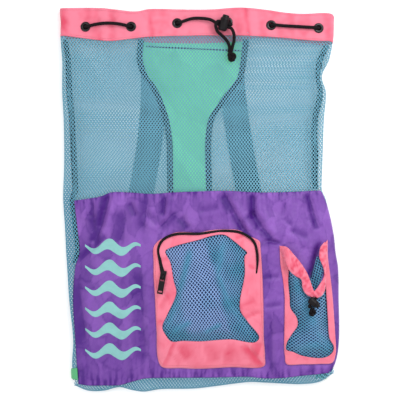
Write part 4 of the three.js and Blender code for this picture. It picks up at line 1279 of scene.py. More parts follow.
def add_piece(name, bm, finish, nodes=(), body="bag"):
    """Makes a finished mesh a piece of the object that moves with a body and stands for CAD nodes."""
    mesh = bpy.data.meshes.new(name)
    bm.to_mesh(mesh)
    bm.free()
    mesh.materials.append(finish_named(finish))
    mesh.shade_smooth()
    piece = bpy.data.objects.new(name, mesh)
    bpy.context.scene.collection.objects.link(piece)
    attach(piece, body)
    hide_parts(*nodes)
    return piece


def thicken(piece, thick):
    """Gives a sheet its thickness, half to each side."""
    wall = piece.modifiers.new("Thickness", "SOLIDIFY")
    wall.thickness = thick
    wall.offset = 0
    return piece


def round_edges(piece, width):
    """Rounds the sharp edges of a hard piece."""
    edge = piece.modifiers.new("Edges", "BEVEL")
    edge.width = width
    edge.segments = 2
    edge.limit_method = "ANGLE"
    return piece


def cloth_grid(columns, rows, place):
    """A sheet over a surface that is given by shares across and up."""
    bm = bmesh.new()
    bm.loops.layers.uv.new("UVMap")
    bmesh.ops.create_grid(bm, x_segments=columns, y_segments=rows, size=0.5, calc_uvs=True)
    for vert in bm.verts:
        vert.co = place(vert.co.x + 0.5, vert.co.y + 0.5) * MM
    return bm


def keep_painted_shade(bm, depth, name="fold"):
    """Keeps with each vertex a share of painted shade, or of the doubled net painted under a pocket, for the
    finish to mix in.
    """
    layer = bm.verts.layers.float.new(name)
    for vert in bm.verts:
        vert[layer] = clamp(depth(vert.co.x / MM, vert.co.y / MM))
    return bm


def close_seams(bm):
    """Merges the seam of a rolled-up grid, caps its ends and turns its faces outwards."""
    bmesh.ops.remove_doubles(bm, verts=bm.verts, dist=MERGE)
    ends = [edge for edge in bm.edges if edge.is_boundary]
    bmesh.ops.holes_fill(bm, edges=ends, sides=0)
    bmesh.ops.recalc_face_normals(bm, faces=bm.faces)
    return bm


def sheet_flat(bm, columns, place):
    """A cloth's flat size: along its middle line across, and its mean size the other way."""
    wide = path_length([place(k / columns, 0.5) for k in range(columns + 1)]) * MM
    return wide, sum(face.calc_area() for face in bm.faces) / wide


def net_grid(box, inside, place, strand, scale, turn):
    """A net, its flat size and its flat area: a slanted grid cut to its outline, a hole in each cell."""
    sizes = bpy.context.scene.backpack_sizes
    across = sizes.net_across * scale / MM
    along = sizes.net_along * scale / MM
    low_x, high_x, low_y, high_y = box
    cells = math.ceil((high_x - low_x) / across + (high_y - low_y) / along) + 2
    if turn:
        cells = math.ceil(cells * TURNED_ROOM)
    bm = bmesh.new()
    uv = bm.loops.layers.uv.new("UVMap")
    bmesh.ops.create_grid(bm, x_segments=cells, y_segments=cells, size=cells / 2)
    slant = Matrix.Identity(4)
    slant[0][:2] = across / 2, -across / 2
    slant[1][:2] = along / 2, along / 2
    middle = Matrix.Translation(((low_x + high_x) / 2, (low_y + high_y) / 2, 0))
    whole = middle @ Matrix.Rotation(turn, 4, "Z") @ slant
    bmesh.ops.transform(bm, matrix=whole, verts=bm.verts)
    outside = [face for face in bm.faces if not inside(*face.calc_center_median().xy)]
    bmesh.ops.delete(bm, geom=outside, context="FACES")
    holes = bm.faces[:]
    middles = [face.calc_center_median() for face in holes]
    flat = [
        (max(spot[axis] for spot in middles) - min(spot[axis] for spot in middles) + cell) * MM
        for axis, cell in enumerate((across, along))
    ]
    area = len(holes) * across * along / 2 * MM * MM
    bmesh.ops.inset_individual(bm, faces=holes, thickness=strand / MM, use_even_offset=True)
    bmesh.ops.delete(bm, geom=holes, context="FACES_ONLY")
    for face in bm.faces:
        for loop in face.loops:
            loop[uv].uv = loop.vert.co.xy / NET_SQUARE
    for vert in bm.verts:
        vert.co = place(vert.co.x, vert.co.y) * MM
    return bm, flat, area


def base_net_shade_depth(x, y):
    """How far the base net is darkened by painted shade, from none to one: all over, and more in soft random
    patches.
    """
    return 0.45 + 0.4 * wrinkle(x, y, 24, 19)


def flap_shade_depth(x, y):
    """How far the left net is darkened by painted shade beside the front panel, from none to one."""
    return 0.55 * (1 - smoothstep(x - left_at(y), 14, 28)) * (1 - smoothstep(y, -10, 30))


def add_net(name, box, inside, place, nodes, depth=None):
    sizes = bpy.context.scene.backpack_sizes
    bm, flat, area = net_grid(box, inside, place, sizes.net_strand, 1, 0)
    # depth gives painted shade, kept in the fold attribute for the finish to darken
    if depth:
        keep_painted_shade(bm, depth)
    piece = thicken(add_piece(name, bm, "net", nodes), sizes.net_thick)


def pocket_net_shade_depth(x, y):
    """How far a pocket's slack net is darkened by painted shade towards its edges, in soft patches and along
    its doubled ridges, from none to one.
    """
    slope = x - lerp(52, 24, (y + 218) / 108)
    right_shade = smoothstep(slope, -9, 3)
    low_shade = 1 - smoothstep(y, -222, -206)
    left_shade = 1 - smoothstep(x + 0.3 * (y + 150), -44, -30)
    parts = 0.7 * max(right_shade, low_shade, left_shade)
    return max(parts + 0.4 * wrinkle(x, y, 26, 29), 0.8 * net_band(x, y))


def add_pocket_net(name, box, inside, place, nodes, turn):
    """A net of the pockets, turned off the upright, with painted shade in its soft folds."""
    sizes = bpy.context.scene.backpack_sizes
    turn = math.radians(turn)
    bm, flat, area = net_grid(box, inside, place, sizes.pocket_strand, sizes.pocket_net, turn)
    keep_painted_shade(bm, pocket_net_shade_depth)
    piece = thicken(add_piece(name, bm, "pocket_net", nodes), sizes.net_thick)


def path_frames(path):
    """A side direction at each point of a path, carried along without twisting."""
    side = Vector((0, 0, 1))
    frames = []
    for i in range(len(path)):
        way = (path[min(i + 1, len(path) - 1)] - path[max(i - 1, 0)]).normalized()
        side = (side - way * side.dot(way)).normalized()
        frames.append((side, side.cross(way)))
    return frames


def tube(path, radius, sides=12):
    """A round cord along a path in millimetres, closed at both ends."""
    frames = path_frames(path)
    rings = len(path) - 1

    def place(u, v):
        ring = round(v * rings)
        side, other = frames[ring]
        angle = 2 * math.pi * u
        return path[ring] + (side * math.cos(angle) + other * math.sin(angle)) * radius

    bm = cloth_grid(sides, rings, place)
    length = path_length(path)
    uv = bm.loops.layers.uv["UVMap"]
    for face in bm.faces:
        for loop in face.loops:
            loop[uv].uv.y *= length / (2 * radius)
    return close_seams(bm)


def path_length(path):
    return sum((b - a).length for a, b in zip(path, path[1:]))


def lathe(corners, steps, matrix, closed=True):
    """A turned piece: a profile of radius and height spun round the local Y axis."""
    bm = bmesh.new()
    verts = [bm.verts.new((corner.radius * MM, corner.height * MM, 0)) for corner in corners]
    edges = [bm.edges.new(pair) for pair in zip(verts, verts[1:])]
    if closed:
        edges.append(bm.edges.new((verts[-1], verts[0])))
    bmesh.ops.spin(
        bm,
        geom=verts + edges,
        cent=(0, 0, 0),
        axis=(0, 1, 0),
        dvec=(0, 0, 0),
        angle=2 * math.pi,
        steps=steps,
        use_merge=True,
    )
    bmesh.ops.remove_doubles(bm, verts=bm.verts, dist=1e-7)
    bmesh.ops.recalc_face_normals(bm, faces=bm.faces)
    bmesh.ops.transform(bm, matrix=matrix, verts=bm.verts)
    return bm


def bevel(bm, edges, width):
    """Rounds the given edges of a hard piece by a width in millimetres."""
    offset = width * MM
    bmesh.ops.bevel(bm, geom=edges, offset=offset, affect="EDGES", segments=3, profile=0.5, material=-1)


def turned_place(x, y, z, turn):
    """The matrix that turns a piece about the upright axis and puts it at a place in millimetres."""
    return Matrix.Translation(Vector((x, y, z)) * MM) @ Matrix.Rotation(math.radians(turn), 4, "Z")


def stitch_row(bm, path, pitch, long, wide):
    """Adds a row of small stitches along a path in millimetres."""
    total = path_length(path)
    count = max(int(total / pitch), 1)
    gone = 0.0
    at = 0
    for k in range(count):
        target = (k + 0.5) * total / count
        while gone + (path[at + 1] - path[at]).length < target:
            gone += (path[at + 1] - path[at]).length
            at += 1
        way = path[at + 1] - path[at]
        spot = path[at] + way.normalized() * (target - gone)
        turn = way.to_track_quat("X", "Z").to_matrix().to_4x4()
        scale = Matrix.Diagonal((long * MM, wide * MM, wide * 0.7 * MM, 1))
        bmesh.ops.create_cube(bm, size=1, matrix=Matrix.Translation(spot * MM) @ turn @ scale)


def plate_grid(columns, rows, open_cells, height):
    """A flat plate from lines across and up, with some of its cells left open."""
    bm = bmesh.new()
    bm.loops.layers.uv.new("UVMap")
    across, up = len(columns) - 1, len(rows) - 1
    bmesh.ops.create_grid(bm, x_segments=across, y_segments=up, size=0.5, calc_uvs=True)
    bm.faces.ensure_lookup_table()
    gone = []
    for face in bm.faces:
        middle = face.calc_center_median()
        cell = (int((middle.x + 0.5) * across), int((middle.y + 0.5) * up))
        if cell in open_cells:
            gone.append(face)
    for vert in bm.verts:
        column = round((vert.co.x + 0.5) * across)
        row = round((vert.co.y + 0.5) * up)
        vert.co = Vector((columns[column], rows[row], height)) * MM
    bmesh.ops.delete(bm, geom=gone, context="FACES")
    return bm


def eyelet_frame(eyelet, on_back):
    """Where an eyelet sits on the hem, and which way it faces."""
    height = back_height if on_back else front_height
    x, y, reach = (eyelet.back_x if on_back else eyelet.x), eyelet.y, 8
    slope_x = (height(x + reach, y) - height(x - reach, y)) / (2 * reach)
    slope_y = (height(x, y + reach) - height(x, y - reach)) / (2 * reach)
    axis = Vector((-slope_x, -slope_y, 1)).normalized()
    return Vector((x, y, height(x, y))), -axis if on_back else axis


def eyelet_pass(spot, axis, run, going_in):
    """The points of one pass of the cord through an eyelet, heading the way given by run."""
    side = Vector((axis.z, 0, -axis.x)) * run
    passes = ((-3.2, CORD_OUTSIDE), (0, 2.4), (0, -1.4), (3.6, CORD_INSIDE))
    way = 1 if going_in else -1
    points = [spot + side * along * way + axis * rise for along, rise in passes]
    return points if going_in else points[::-1]


def between(first, second, rise, bow=0):
    """Three points of the cord between two eyelets, outside or inside the hem, bowed up the hem."""
    points = []
    for part in (0.25, 0.5, 0.75):
        spot = first[0].lerp(second[0], part) + Vector((0, bow * math.sin(math.pi * part), 0))
        if first[1].z < 0:
            points.append(Vector((spot.x, spot.y, back_height(spot.x, spot.y) - rise)))
        else:
            points.append(above_front(spot.x, spot.y, rise))
    return points


def in_lock(lock, along, up, lift=0):
    """A point of the cord in or near a lock's slot, along the slot and up the barrel."""
    turn = math.radians(lock.turn)
    return Vector((
        lock.x + along * math.cos(turn) - up * math.sin(turn),
        lock.y + along * math.sin(turn) + up * math.cos(turn),
        front_height(lock.x, lock.y) + lock.rise + lift,
    ))


def laced(frames, run, going_in, bow=0):
    """The cord through eyelets one after the other, in and out of the hem by turns."""
    points = eyelet_pass(*frames[0], run, going_in)
    for here, there in zip(frames, frames[1:]):
        points += between(here, there, CORD_INSIDE) if going_in else between(here, there, CORD_OUTSIDE, bow)
        going_in = not going_in
        points += eyelet_pass(*there, run, going_in)
    return points


def drawcord_points():
    """The drawcord's route: knot, lock, in and out of every eyelet, lock and knot again."""
    front = [eyelet_frame(eyelet, False) for eyelet in EYELETS]
    back = [eyelet_frame(eyelet, True) for eyelet in EYELETS]
    return [
        above_front(51.8, 242, 5.5),
        above_front(54, 251.5, 5.2),
        above_front(56.8, 263, 6.5),
        above_front(56, 274, 9),
        in_lock(LOCK, 13.5, -3),
        in_lock(LOCK, 7, -2.7),
        in_lock(LOCK, -7, -2.7),
        in_lock(LOCK, -11.5, -1.8, -1.6),
        above_front(19, 295.6, CORD_OUTSIDE + 2.6),
        above_front(1, 298.4, CORD_OUTSIDE + 1.2),
        above_front(-14, 297.6, CORD_OUTSIDE + 0.3),
        *laced(front[2::-1], -1, True, CORD_BOW),
        Vector((left_at(288) + 7, 288, FOLD_AXIS)),
        *laced(back, 1, False),
        Vector((right_at(286) - 7, 286, FOLD_AXIS)),
        *laced(front[:2:-1], -1, False)[:-1],
        in_lock(LOCK, 12, 2.6),
        in_lock(LOCK, 7, 2.6),
        in_lock(LOCK, -7, 2.6),
        in_lock(LOCK, -10.5, 1.6, 2.4),
        in_lock(LOCK, -12.5, -4, 3.4),
        above_front(29.5, 276.5, 10),
        above_front(36.5, 270, 7.8),
        above_front(42.5, 264, 6.4),
        above_front(47.4, 257, 5.4),
        above_front(49.2, 250, 5.2),
        above_front(48.2, 242.5, 5.5),
    ]


def pocket_cord_points():
    """The side pocket's cord: out of the lock and into its knot."""
    middle = POCKET_LOCK.slot_middle
    height = front_height(POCKET_LOCK.x, POCKET_LOCK.y) + POCKET_LOCK.rise
    runs = [in_lock(POCKET_LOCK, along, middle) for along in (-9.5, -5, 0, 6, 10)]
    return runs + [
        Vector((POCKET_KNOT.x - 1, POCKET_KNOT.y + 7, height - 1.5)),
        Vector((POCKET_KNOT.x, POCKET_KNOT.y, height - 2.5)),
    ]


def knot_path(knot, radius):
    """A cord wound over and under itself into a closed overhand knot."""
    points = []
    for k in range(KNOT_STEPS + 1):
        t = 2 * math.pi * k / KNOT_STEPS
        away = radius * (1.5 + 0.78 * math.cos(3 * t))
        across, up = 0.9 * away * math.cos(2 * t), 1.18 * away * math.sin(2 * t)
        points.append(Vector((across, up, radius * 1.12 * math.sin(3 * t))) * knot.size)
    turn = Matrix.Rotation(math.radians(knot.turn), 3, "Z")
    middle = above_front(knot.x, knot.y, knot.rise)
    return [middle + turn @ point for point in points]


def add_cord(name, points, diameter, node, knot, ends):
    """A braided cord along its route with its knot and the cut ends that stand out of it."""
    radius = diameter / MM / 2
    path = smooth_path(points, 4)
    cord = add_piece(name, tube(path, radius, CORD_SIDES), "cord", [node])
    knot_tube = tube(knot_path(knot, radius), radius, CORD_SIDES)
    pieces = [add_piece(name + "_knot", knot_tube, "cord", [node])]
    for k, (start_x, start_y, end_x, end_y) in enumerate(ends):
        start = above_front(knot.x + start_x, knot.y + start_y, knot.rise)
        end = above_front(knot.x + end_x, knot.y + end_y, knot.rise - 1)
        stub = smooth_path([start, start.lerp(end, 0.5) + Vector((0, 0, 0.6)), end], 4)
        pieces.append(add_piece(f"{name}_end_{k + 1}", tube(stub, radius, CORD_SIDES), "cord"))
    metres = [point * MM for point in path]
    length = path_length(metres)


def add_lamp(row):
    """A round soft lamp that shines at the middle of the floor."""
    lamp = bpy.data.lights.new(row.name, "AREA")
    lamp.shape = "DISK"
    lamp.size = row.size
    lamp.energy = row.power
    holder = bpy.data.objects.new(row.name, lamp)
    holder.location = (row.x, row.y, row.z)
    aim = Vector((-row.x, -row.y, -row.z))
    holder.rotation_euler = aim.to_track_quat("-Z", "Y").to_euler()
    bpy.context.scene.collection.objects.link(holder)


class BACKPACK_OT_stage(bpy.types.Operator):
    """Add the camera, the studio light and the pale floor"""

    bl_idname = "backpack.stage"
    bl_label = "Stage"

    def execute(self, context):
        scene = context.scene
        lens = bpy.data.cameras.new("Camera")
        lens.sensor_width = CAMERA_SENSOR
        lens.lens = CAMERA_SENSOR * CAMERA_AWAY / VIEW_WIDTH
        camera = bpy.data.objects.new("Camera", lens)
        camera.location = (VIEW_CENTRE_X, 0, CAMERA_AWAY + VIEW_HEIGHT)
        scene.collection.objects.link(camera)
        scene.camera = camera
        scene.view_settings.view_transform = "Standard"

        world = bpy.data.worlds.new("Studio")
        world.use_nodes = True
        background = world.node_tree.nodes["Background"]
        background.inputs["Color"].default_value = (1, 1, 1, 1)
        background.inputs["Strength"].default_value = SKY_STRENGTH
        scene.world = world
        for row in LAMPS:
            add_lamp(row)

        bm = bmesh.new()
        bmesh.ops.create_grid(bm, x_segments=2, y_segments=2, size=FLOOR_HALF)
        mesh = bpy.data.meshes.new("floor")
        bm.to_mesh(mesh)
        bm.free()
        mesh.materials.append(floor_finish())
        floor = bpy.data.objects.new("floor", mesh)
        scene.collection.objects.link(floor)
        return {"FINISHED"}


class BACKPACK_OT_cords(bpy.types.Operator):
    """Add the drawcord and the side pocket's cord, each with its knot"""

    bl_idname = "backpack.cords"
    bl_label = "Cords"

    def execute(self, context):
        sizes = context.scene.backpack_sizes
        ends = ((1.5, -3, 3, -7), (-2, -3, -3, -6.5))
        add_cord("drawcord_braid", drawcord_points(), sizes.cord_diameter, "drawcord", KNOT, ends)
        pocket_ends = ((0, -2, 1, -6),)
        diameter = sizes.pocket_cord_diameter
        add_cord("pocket_braid", pocket_cord_points(), diameter, "pocket_cord", POCKET_KNOT, pocket_ends)
        return {"FINISHED"}


def front_net_point(x, y):
    """The front net in plan, tucked under the panel's and the hem's edges."""
    spot = sack_point(x - left_at(y) - FOLD_RADIUS, y)
    tuck = 1 - smoothstep(y - panel_top_at(x), 0, 8) + smoothstep(y - hem_low_at(x), -8, 0)
    spot.z += 2.2 * wrinkle(x, 0.6 * y, 75, 1) * (1 - tuck) - 1.7 * tuck
    spot.z -= 0.9 * max(panel_top_at(x) - y, 0)
    return spot


def front_net_inside(x, y):
    from_left = x - left_at(y) - FOLD_RADIUS
    within = left_seam(y) - 1 < from_left < right_seam(y) + 1
    return within and panel_top_at(x) - 4 < y < hem_low_at(x) + 4


class BACKPACK_OT_front_net(bpy.types.Operator):
    """Add the net of the upper front wall"""

    bl_idname = "backpack.front_net"
    bl_label = "Front net"

    def execute(self, context):
        box = (-225, 222, -10, 280)
        add_net("front_net", box, front_net_inside, front_net_point, FRONT_NET_NODES)
        return {"FINISHED"}


def panel_middle(u, v):
    def spot_at(x):
        y = lerp(base_seam_at(x) - 1, panel_top_at(x) + 1, v)
        return sack_point(lerp(left_seam(y) - 0.5, right_seam(y), u), y)

    return settle(lerp(-206, 219, u), spot_at)


def panel_point(u, v):
    spot = panel_middle(u, v)
    return raised(panel_middle, u, v, panel_relief(spot.x, spot.y))


def pocket_shade(x, y):
    """One where a pocket's net lies over the front panel, none elsewhere: where the panel is given painted
    shade.
    """
    return float(any(test(x, y) for test in POCKET_TESTS))


def doubled_shade(x, y):
    """How far a doubled layer of the pocket's net, in its shaded colour, is painted onto the panel behind the
    pocket's net, from none to one.
    """
    return 0.9 * net_band(x, y) * pocket_shade(x, y)


class BACKPACK_OT_front_panel(bpy.types.Operator):
    """Add the folded and gathered purple panel of the lower front wall"""

    bl_idname = "backpack.front_panel"
    bl_label = "Front panel"

    def execute(self, context):
        sizes = context.scene.backpack_sizes
        # Painted shade kept with the panel: folds, gathers and facets, shade under the pockets, and the
        # doubled net painted there
        bm = keep_painted_shade(cloth_grid(sizes.panel_columns, sizes.panel_rows, panel_point), panel_shade_depth)
        keep_painted_shade(bm, pocket_shade, "shade")
        keep_painted_shade(bm, doubled_shade, "doubled")
        flat = sheet_flat(bm, sizes.panel_columns, panel_point)
        piece = add_piece("panel_cloth", bm, "panel", PANEL_NODES)
        thicken(piece, sizes.cloth_thick)
        return {"FINISHED"}


def left_net_point(distance, y):
    """The left net, tucked under the edge of the front wall."""
    spot = sack_point(distance, y)
    spot.z -= 2 * smoothstep(distance - left_seam(y), -4, 1)
    return spot


def left_net_inside(distance, y):
    turned = clamp(-distance / FOLD_BEND)
    low = lerp(FLAP_LOW, BACK_LOW, turned) - 1
    within = back_round(yoke_left_at(y) + 3, y) < distance < left_seam(y) + 1
    return within and low < y < hem_low(sack_point(distance, y).x, turned) + 4


def right_net_inside(outward, y):
    turned = clamp(outward / FOLD_BEND)
    low = lerp(FLAP_LOW, BACK_LOW, turned) - 1
    end = FOLD_BEND + right_at(y) - FOLD_RADIUS - yoke_right_at(y) + 3
    within = flap_turn(flap_right_at(y)) - 1 < outward < end
    return within and low < y < hem_low(sack_point(front_span(y) + outward, y).x, turned) + 4


def right_net_point(outward, y):
    """The right net, tucked under the edge of the front wall where that lies on top."""
    spot = sack_point(front_span(y) + outward, y)
    seam = flap_turn(flap_right_at(y))
    spot.z -= 2 * (1 - smoothstep(outward - seam, -1, 4)) * (1 - smoothstep(seam, 4, 10))
    return spot


def base_limits(x):
    """Where the base net starts on the front and ends on the back, outwards round its fold."""
    start = flap_turn(base_seam_at(x) - base_fold_at(x)) - 2
    top = base_fold_at(x) + FOLD_RADIUS
    return start, FOLD_BEND + max(BACK_LOW - top, 0.5) + 3


def base_net_inside(x, inward):
    start, end = base_limits(x)
    return -206 < x < 221 and start < -inward < end


def base_net_point(x, inward):
    outward = -inward
    top = base_fold_at(x) + FOLD_RADIUS
    if outward < 0:
        tuck = smoothstep(flap_turn(base_seam_at(x) - base_fold_at(x)) - outward, -3, 2)
        return above_front(x, top - outward, -3.2 * tuck)
    if outward > FOLD_BEND:
        return Vector((x, top + outward - FOLD_BEND, BACK_HEIGHT))
    out, up = fold_arc(outward)
    return Vector((x, top - out, FOLD_AXIS + up))


class BACKPACK_OT_back_nets(bpy.types.Operator):
    """Add the nets of the back wall, round both side folds, and of the base"""

    bl_idname = "backpack.back_nets"
    bl_label = "Back and base nets"

    def execute(self, context):
        left_box = (-225, 22, -302, 280)
        add_net("back_net_left", left_box, left_net_inside, left_net_point, ["back_mesh_left"],
                flap_shade_depth)
        right_box = (-10, 250, -302, 280)
        add_net("back_net_right", right_box, right_net_inside, right_net_point, ["back_mesh_right"])
        base_box = (-208, 223, -60, 20)
        add_net("base_net", base_box, base_net_inside, base_net_point, ["base_mesh"],
                base_net_shade_depth)
        return {"FINISHED"}


def yoke_point(u, v):
    y = lerp(BACK_LOW, YOKE_TOP, v)
    left, right = back_round(yoke_left_at(y), y), back_round(yoke_right_at(y), y)
    spot = sack_point(lerp(right, left, u), y)
    spot.z += 0.9 * wrinkle(spot.x, spot.y, 30, 11) * smoothstep(u, 0, 0.2) * (1 - smoothstep(u, 0.8, 1))
    return spot


def yoke_shade_depth(x, y):
    """How far the yoke is darkened by painted shade beside its left tape and on its soft facets, from none to
    one.
    """
    tone, line = facet_shade(x + 0.6 * y, y, 26, 60, 91)
    beside = (1 - smoothstep(x - yoke_left_at(y), 12, 34)) * smoothstep(y, 150, 185)
    return 0.35 * tone + 0.15 * line + 0.5 * beside


def tape_point(low, top, distance_at):
    """A surface that follows a seam round the sack, just inside it."""

    def middle(u, v):
        y = lerp(low, top, v)
        return sack_point(distance_at(y) + (u - 0.5) * TAPE_WIDTH, y)

    return lambda u, v: raised(middle, u, v, TAPE_INSET)


class BACKPACK_OT_yoke(bpy.types.Operator):
    """Add the mint yoke of the back wall, and the black tapes along the seams"""

    bl_idname = "backpack.yoke"
    bl_label = "Yoke and tapes"

    def execute(self, context):
        sizes = context.scene.backpack_sizes
        bm = keep_painted_shade(cloth_grid(36, 150, yoke_point), yoke_shade_depth)
        flat = (max(row.right - row.left for row in YOKE) * MM, (YOKE_TOP - BACK_LOW) * MM)
        area = sum(face.calc_area() for face in bm.faces)
        yoke = thicken(add_piece("yoke_cloth", bm, "yoke", ["back_yoke"]), sizes.cloth_thick)
        tapes = {
            "side_binding_left": (-104, 265, lambda y: left_seam(y) - 4 * (1 - smoothstep(y, 0, 16))),
            "side_binding_right": (18, 256, right_seam),
            "yoke_binding_left": (BACK_LOW + 4, YOKE_TOP + 3, lambda y: back_round(yoke_left_at(y), y)),
            "yoke_binding_right": (BACK_LOW + 4, YOKE_TOP + 3, lambda y: back_round(yoke_right_at(y), y)),
        }
        for node, (low, top, distance_at) in tapes.items():
            bm = cloth_grid(4, 140, tape_point(low, top, distance_at))
            piece = add_piece(node.replace("binding", "tape"), bm, "tape", [node])
            thicken(piece, sizes.tape_thick)
        bm = bmesh.new()
        seam = [Vector((x, 254 - 0.045 * (x + 91), 0)) for x in range(-88, 74, 4)]
        for spot in seam:
            spot.z = back_height(spot.x, spot.y) + 0.7
        stitch_row(bm, seam, 2.6, 2.4, 2.4)
        add_piece("yoke_top_stitches", bm, "black_thread")
        return {"FINISHED"}


HEM_MIDDLE = 290
HEM_LEAN = 0.12
HEM_RUN = 14
HEM_BEND = 4
HEM_STEPS = 2 * (HEM_RUN + HEM_BEND)


def hem_place(step, y):
    """Distance round the girth and turn onto the back, for a step round the hem."""
    front = front_span(y)
    half = HEM_RUN + HEM_BEND
    step %= HEM_STEPS
    within = step % half
    start = 0 if step < half else front + FOLD_BEND
    past = max(within - HEM_RUN, 0) / HEM_BEND
    distance = start + front * min(within, HEM_RUN) / HEM_RUN + FOLD_BEND * past
    return distance, past if step < half else 1 - past


def hem_middle(u, v):
    step = u * HEM_STEPS
    distance, turned = hem_place(step, HEM_MIDDLE)
    middle = sack_point(distance, HEM_MIDDLE)
    y = lerp(hem_low(middle.x, turned), hem_top_at(middle.x), v)
    return sack_point(hem_place(step, y)[0], y)


def hem_fold(x, y):
    """Depth of the hem's upright folds, which lean a little and fade unevenly."""
    depth = 0
    for fold in HEM_FOLDS:
        off = (x - fold.x + HEM_LEAN * (y - HEM_MIDDLE)) / fold.width
        if abs(off) < 3:
            depth += fold.depth * math.exp(-off * off) * (0.75 + 0.5 * wrinkle(fold.x, y, 18, 15))
    return depth


def hem_shade_depth(x, y):
    """How far the hem is darkened, from none to one: painted shade in its upright folds, and darker in soft
    random patches.
    """
    return 0.48 * hem_fold(x, y) + 0.45 * wrinkle(x, 0.3 * y, 16, 16) + 0.3 * wrinkle(x, y, 8, 17)


def hem_point(u, v):
    spot = hem_middle(u, v)
    near = min(math.hypot(spot.x - eyelet.x, spot.y - eyelet.y) for eyelet in EYELETS)
    free = smoothstep(near, 8, 20) * smoothstep(v, 0, 0.1)
    ripple = 1.3 * wrinkle(spot.x, 0.35 * spot.y, 21, 13) + 0.5 * wrinkle(spot.x, spot.y, 9, 14)
    return raised(hem_middle, u, v, (ripple - 1.2 * hem_fold(spot.x, spot.y)) * free)


class BACKPACK_OT_hem(bpy.types.Operator):
    """Add the pink hem round the mouth, pierced for its eyelets and stitched along its lower edge"""

    bl_idname = "backpack.hem"
    bl_label = "Mouth hem"

    def execute(self, context):
        sizes = context.scene.backpack_sizes
        bm = cloth_grid(HEM_COLUMNS, 20, hem_point)
        bmesh.ops.remove_doubles(bm, verts=bm.verts, dist=MERGE)
        spots = [eyelet_frame(e, side)[0] * MM for e in EYELETS for side in (False, True)]
        pierced = []
        for face in bm.faces:
            middle = face.calc_center_median()
            if min((middle - spot).length for spot in spots) < EYELET_CLOTH_HOLE * MM:
                pierced.append(face)
        bmesh.ops.delete(bm, geom=pierced, context="FACES")
        keep_painted_shade(bm, hem_shade_depth)
        flat = sheet_flat(bm, HEM_COLUMNS, hem_point)
        piece = add_piece("hem_cloth", bm, "pink", HEM_NODES)
        thicken(piece, sizes.hem_thick)
        bm = bmesh.new()
        for part in (0.07, 0.93):
            lift = sizes.hem_thick / MM / 2
            row = [raised(hem_point, k / HEM_COLUMNS, part, lift) for k in range(HEM_COLUMNS + 1)]
            stitch_row(bm, row, 3.2, 2.4, 0.7)
        stitches = add_piece("hem_stitches", bm, "pink_thread")
        return {"FINISHED"}


class BACKPACK_OT_eyelets(bpy.types.Operator):
    """Add the twelve metal eyelets of the hem"""

    bl_idname = "backpack.eyelets"
    bl_label = "Eyelets"

    def execute(self, context):
        for side in ("front", "back"):
            for k, eyelet in enumerate(EYELETS):
                spot, axis = eyelet_frame(eyelet, side == "back")
                turn = axis.to_track_quat("Y", "Z").to_matrix().to_4x4()
                bm = lathe(EYELET_PROFILE, 28, Matrix.Translation(spot * MM) @ turn)
                name = f"{side}_{k + 1}"
                add_piece(f"eyelet_ring_{name}", bm, "eyelet", [f"eyelet_{name}"])
        return {"FINISHED"}


def lock_matrix(lock):
    return turned_place(lock.x, lock.y, front_height(lock.x, lock.y) + lock.rise, lock.turn)


def add_lock(lock, name, node, button_node, button_body):
    """A sprung cord lock: a ribbed barrel with a slot for the cord, and its button."""
    half, radius, cap = lock.half, lock.radius, lock.cap
    rib = radius * 0.94
    corners = [
        Corner(0, -half),
        Corner(radius * 0.62, -half),
        Corner(radius * 0.82, -half * 0.94),
        Corner(radius * 0.97, -half * 0.78),
        Corner(radius, -half * 0.66),
        Corner(radius, half * 0.5),
        Corner(rib, half * 0.54),
        Corner(rib, half * 0.6),
        Corner(radius, half * 0.64),
        Corner(radius * 0.99, half * 0.78),
        Corner(radius * 0.9, half * 0.96),
        Corner(radius * 0.84, half),
        Corner(cap + 0.4, half),
        Corner(cap + 0.4, lock.bore),
        Corner(0, lock.bore),
    ]
    matrix = lock_matrix(lock)
    barrel = add_piece(name, lathe(corners, 36, matrix, False), "lock", [node])
    bm = bmesh.new()
    scale = Matrix.Diagonal((3 * radius * MM, lock.slot_along * MM, lock.slot_high * MM, 1))
    shift = Matrix.Translation((0, lock.slot_middle * MM, 0))
    bmesh.ops.create_cube(bm, size=1, matrix=matrix @ shift @ scale)
    bevel(bm, bm.edges[:], SLOT_BEVEL)
    cutter = add_piece(name + "_cutter", bm, "lock")
    slot = barrel.modifiers.new("Slot", "BOOLEAN")
    slot.operation = "DIFFERENCE"
    slot.object = cutter
    depsgraph = bpy.context.evaluated_depsgraph_get()
    cut = bpy.data.meshes.new_from_object(barrel.evaluated_get(depsgraph))
    barrel.modifiers.clear()
    barrel.data = cut
    bpy.data.objects.remove(cutter)
    cut.set_sharp_from_angle(angle=math.radians(40))
    top = half + lock.stroke
    button = [
        Corner(0, lock.bore + lock.stroke),
        Corner(cap, lock.bore + lock.stroke),
        Corner(cap, top + 0.2),
        Corner(cap * 0.94, top + 0.8),
        Corner(cap * 0.8, top + 1.25),
        Corner(cap * 0.6, top + 1.4),
        Corner(cap * 0.5, top + 1.1),
        Corner(0, top + 1),
    ]
    piece = add_piece(name + "_button", lathe(button, 32, matrix, False), "lock",
                      [button_node], button_body)
    piece.data.set_sharp_from_angle(angle=math.radians(50))


class BACKPACK_OT_locks(bpy.types.Operator):
    """Add the cord locks of the drawcord and of the side pocket"""

    bl_idname = "backpack.locks"
    bl_label = "Cord locks"

    def execute(self, context):
        add_lock(LOCK, "cord_lock", "cord_lock_body", "cord_lock_button", "lock_button")
        add_lock(POCKET_LOCK, "pocket_lock", "pocket_lock_body", "pocket_lock_button", "pocket_button")
        return {"FINISHED"}


gusset_outer = plan_path(ZIP_GUSSET, "x", "y", 8, True)
gusset_inner = plan_path(ZIP_GUSSET, "in_x", "in_y", 8, True)


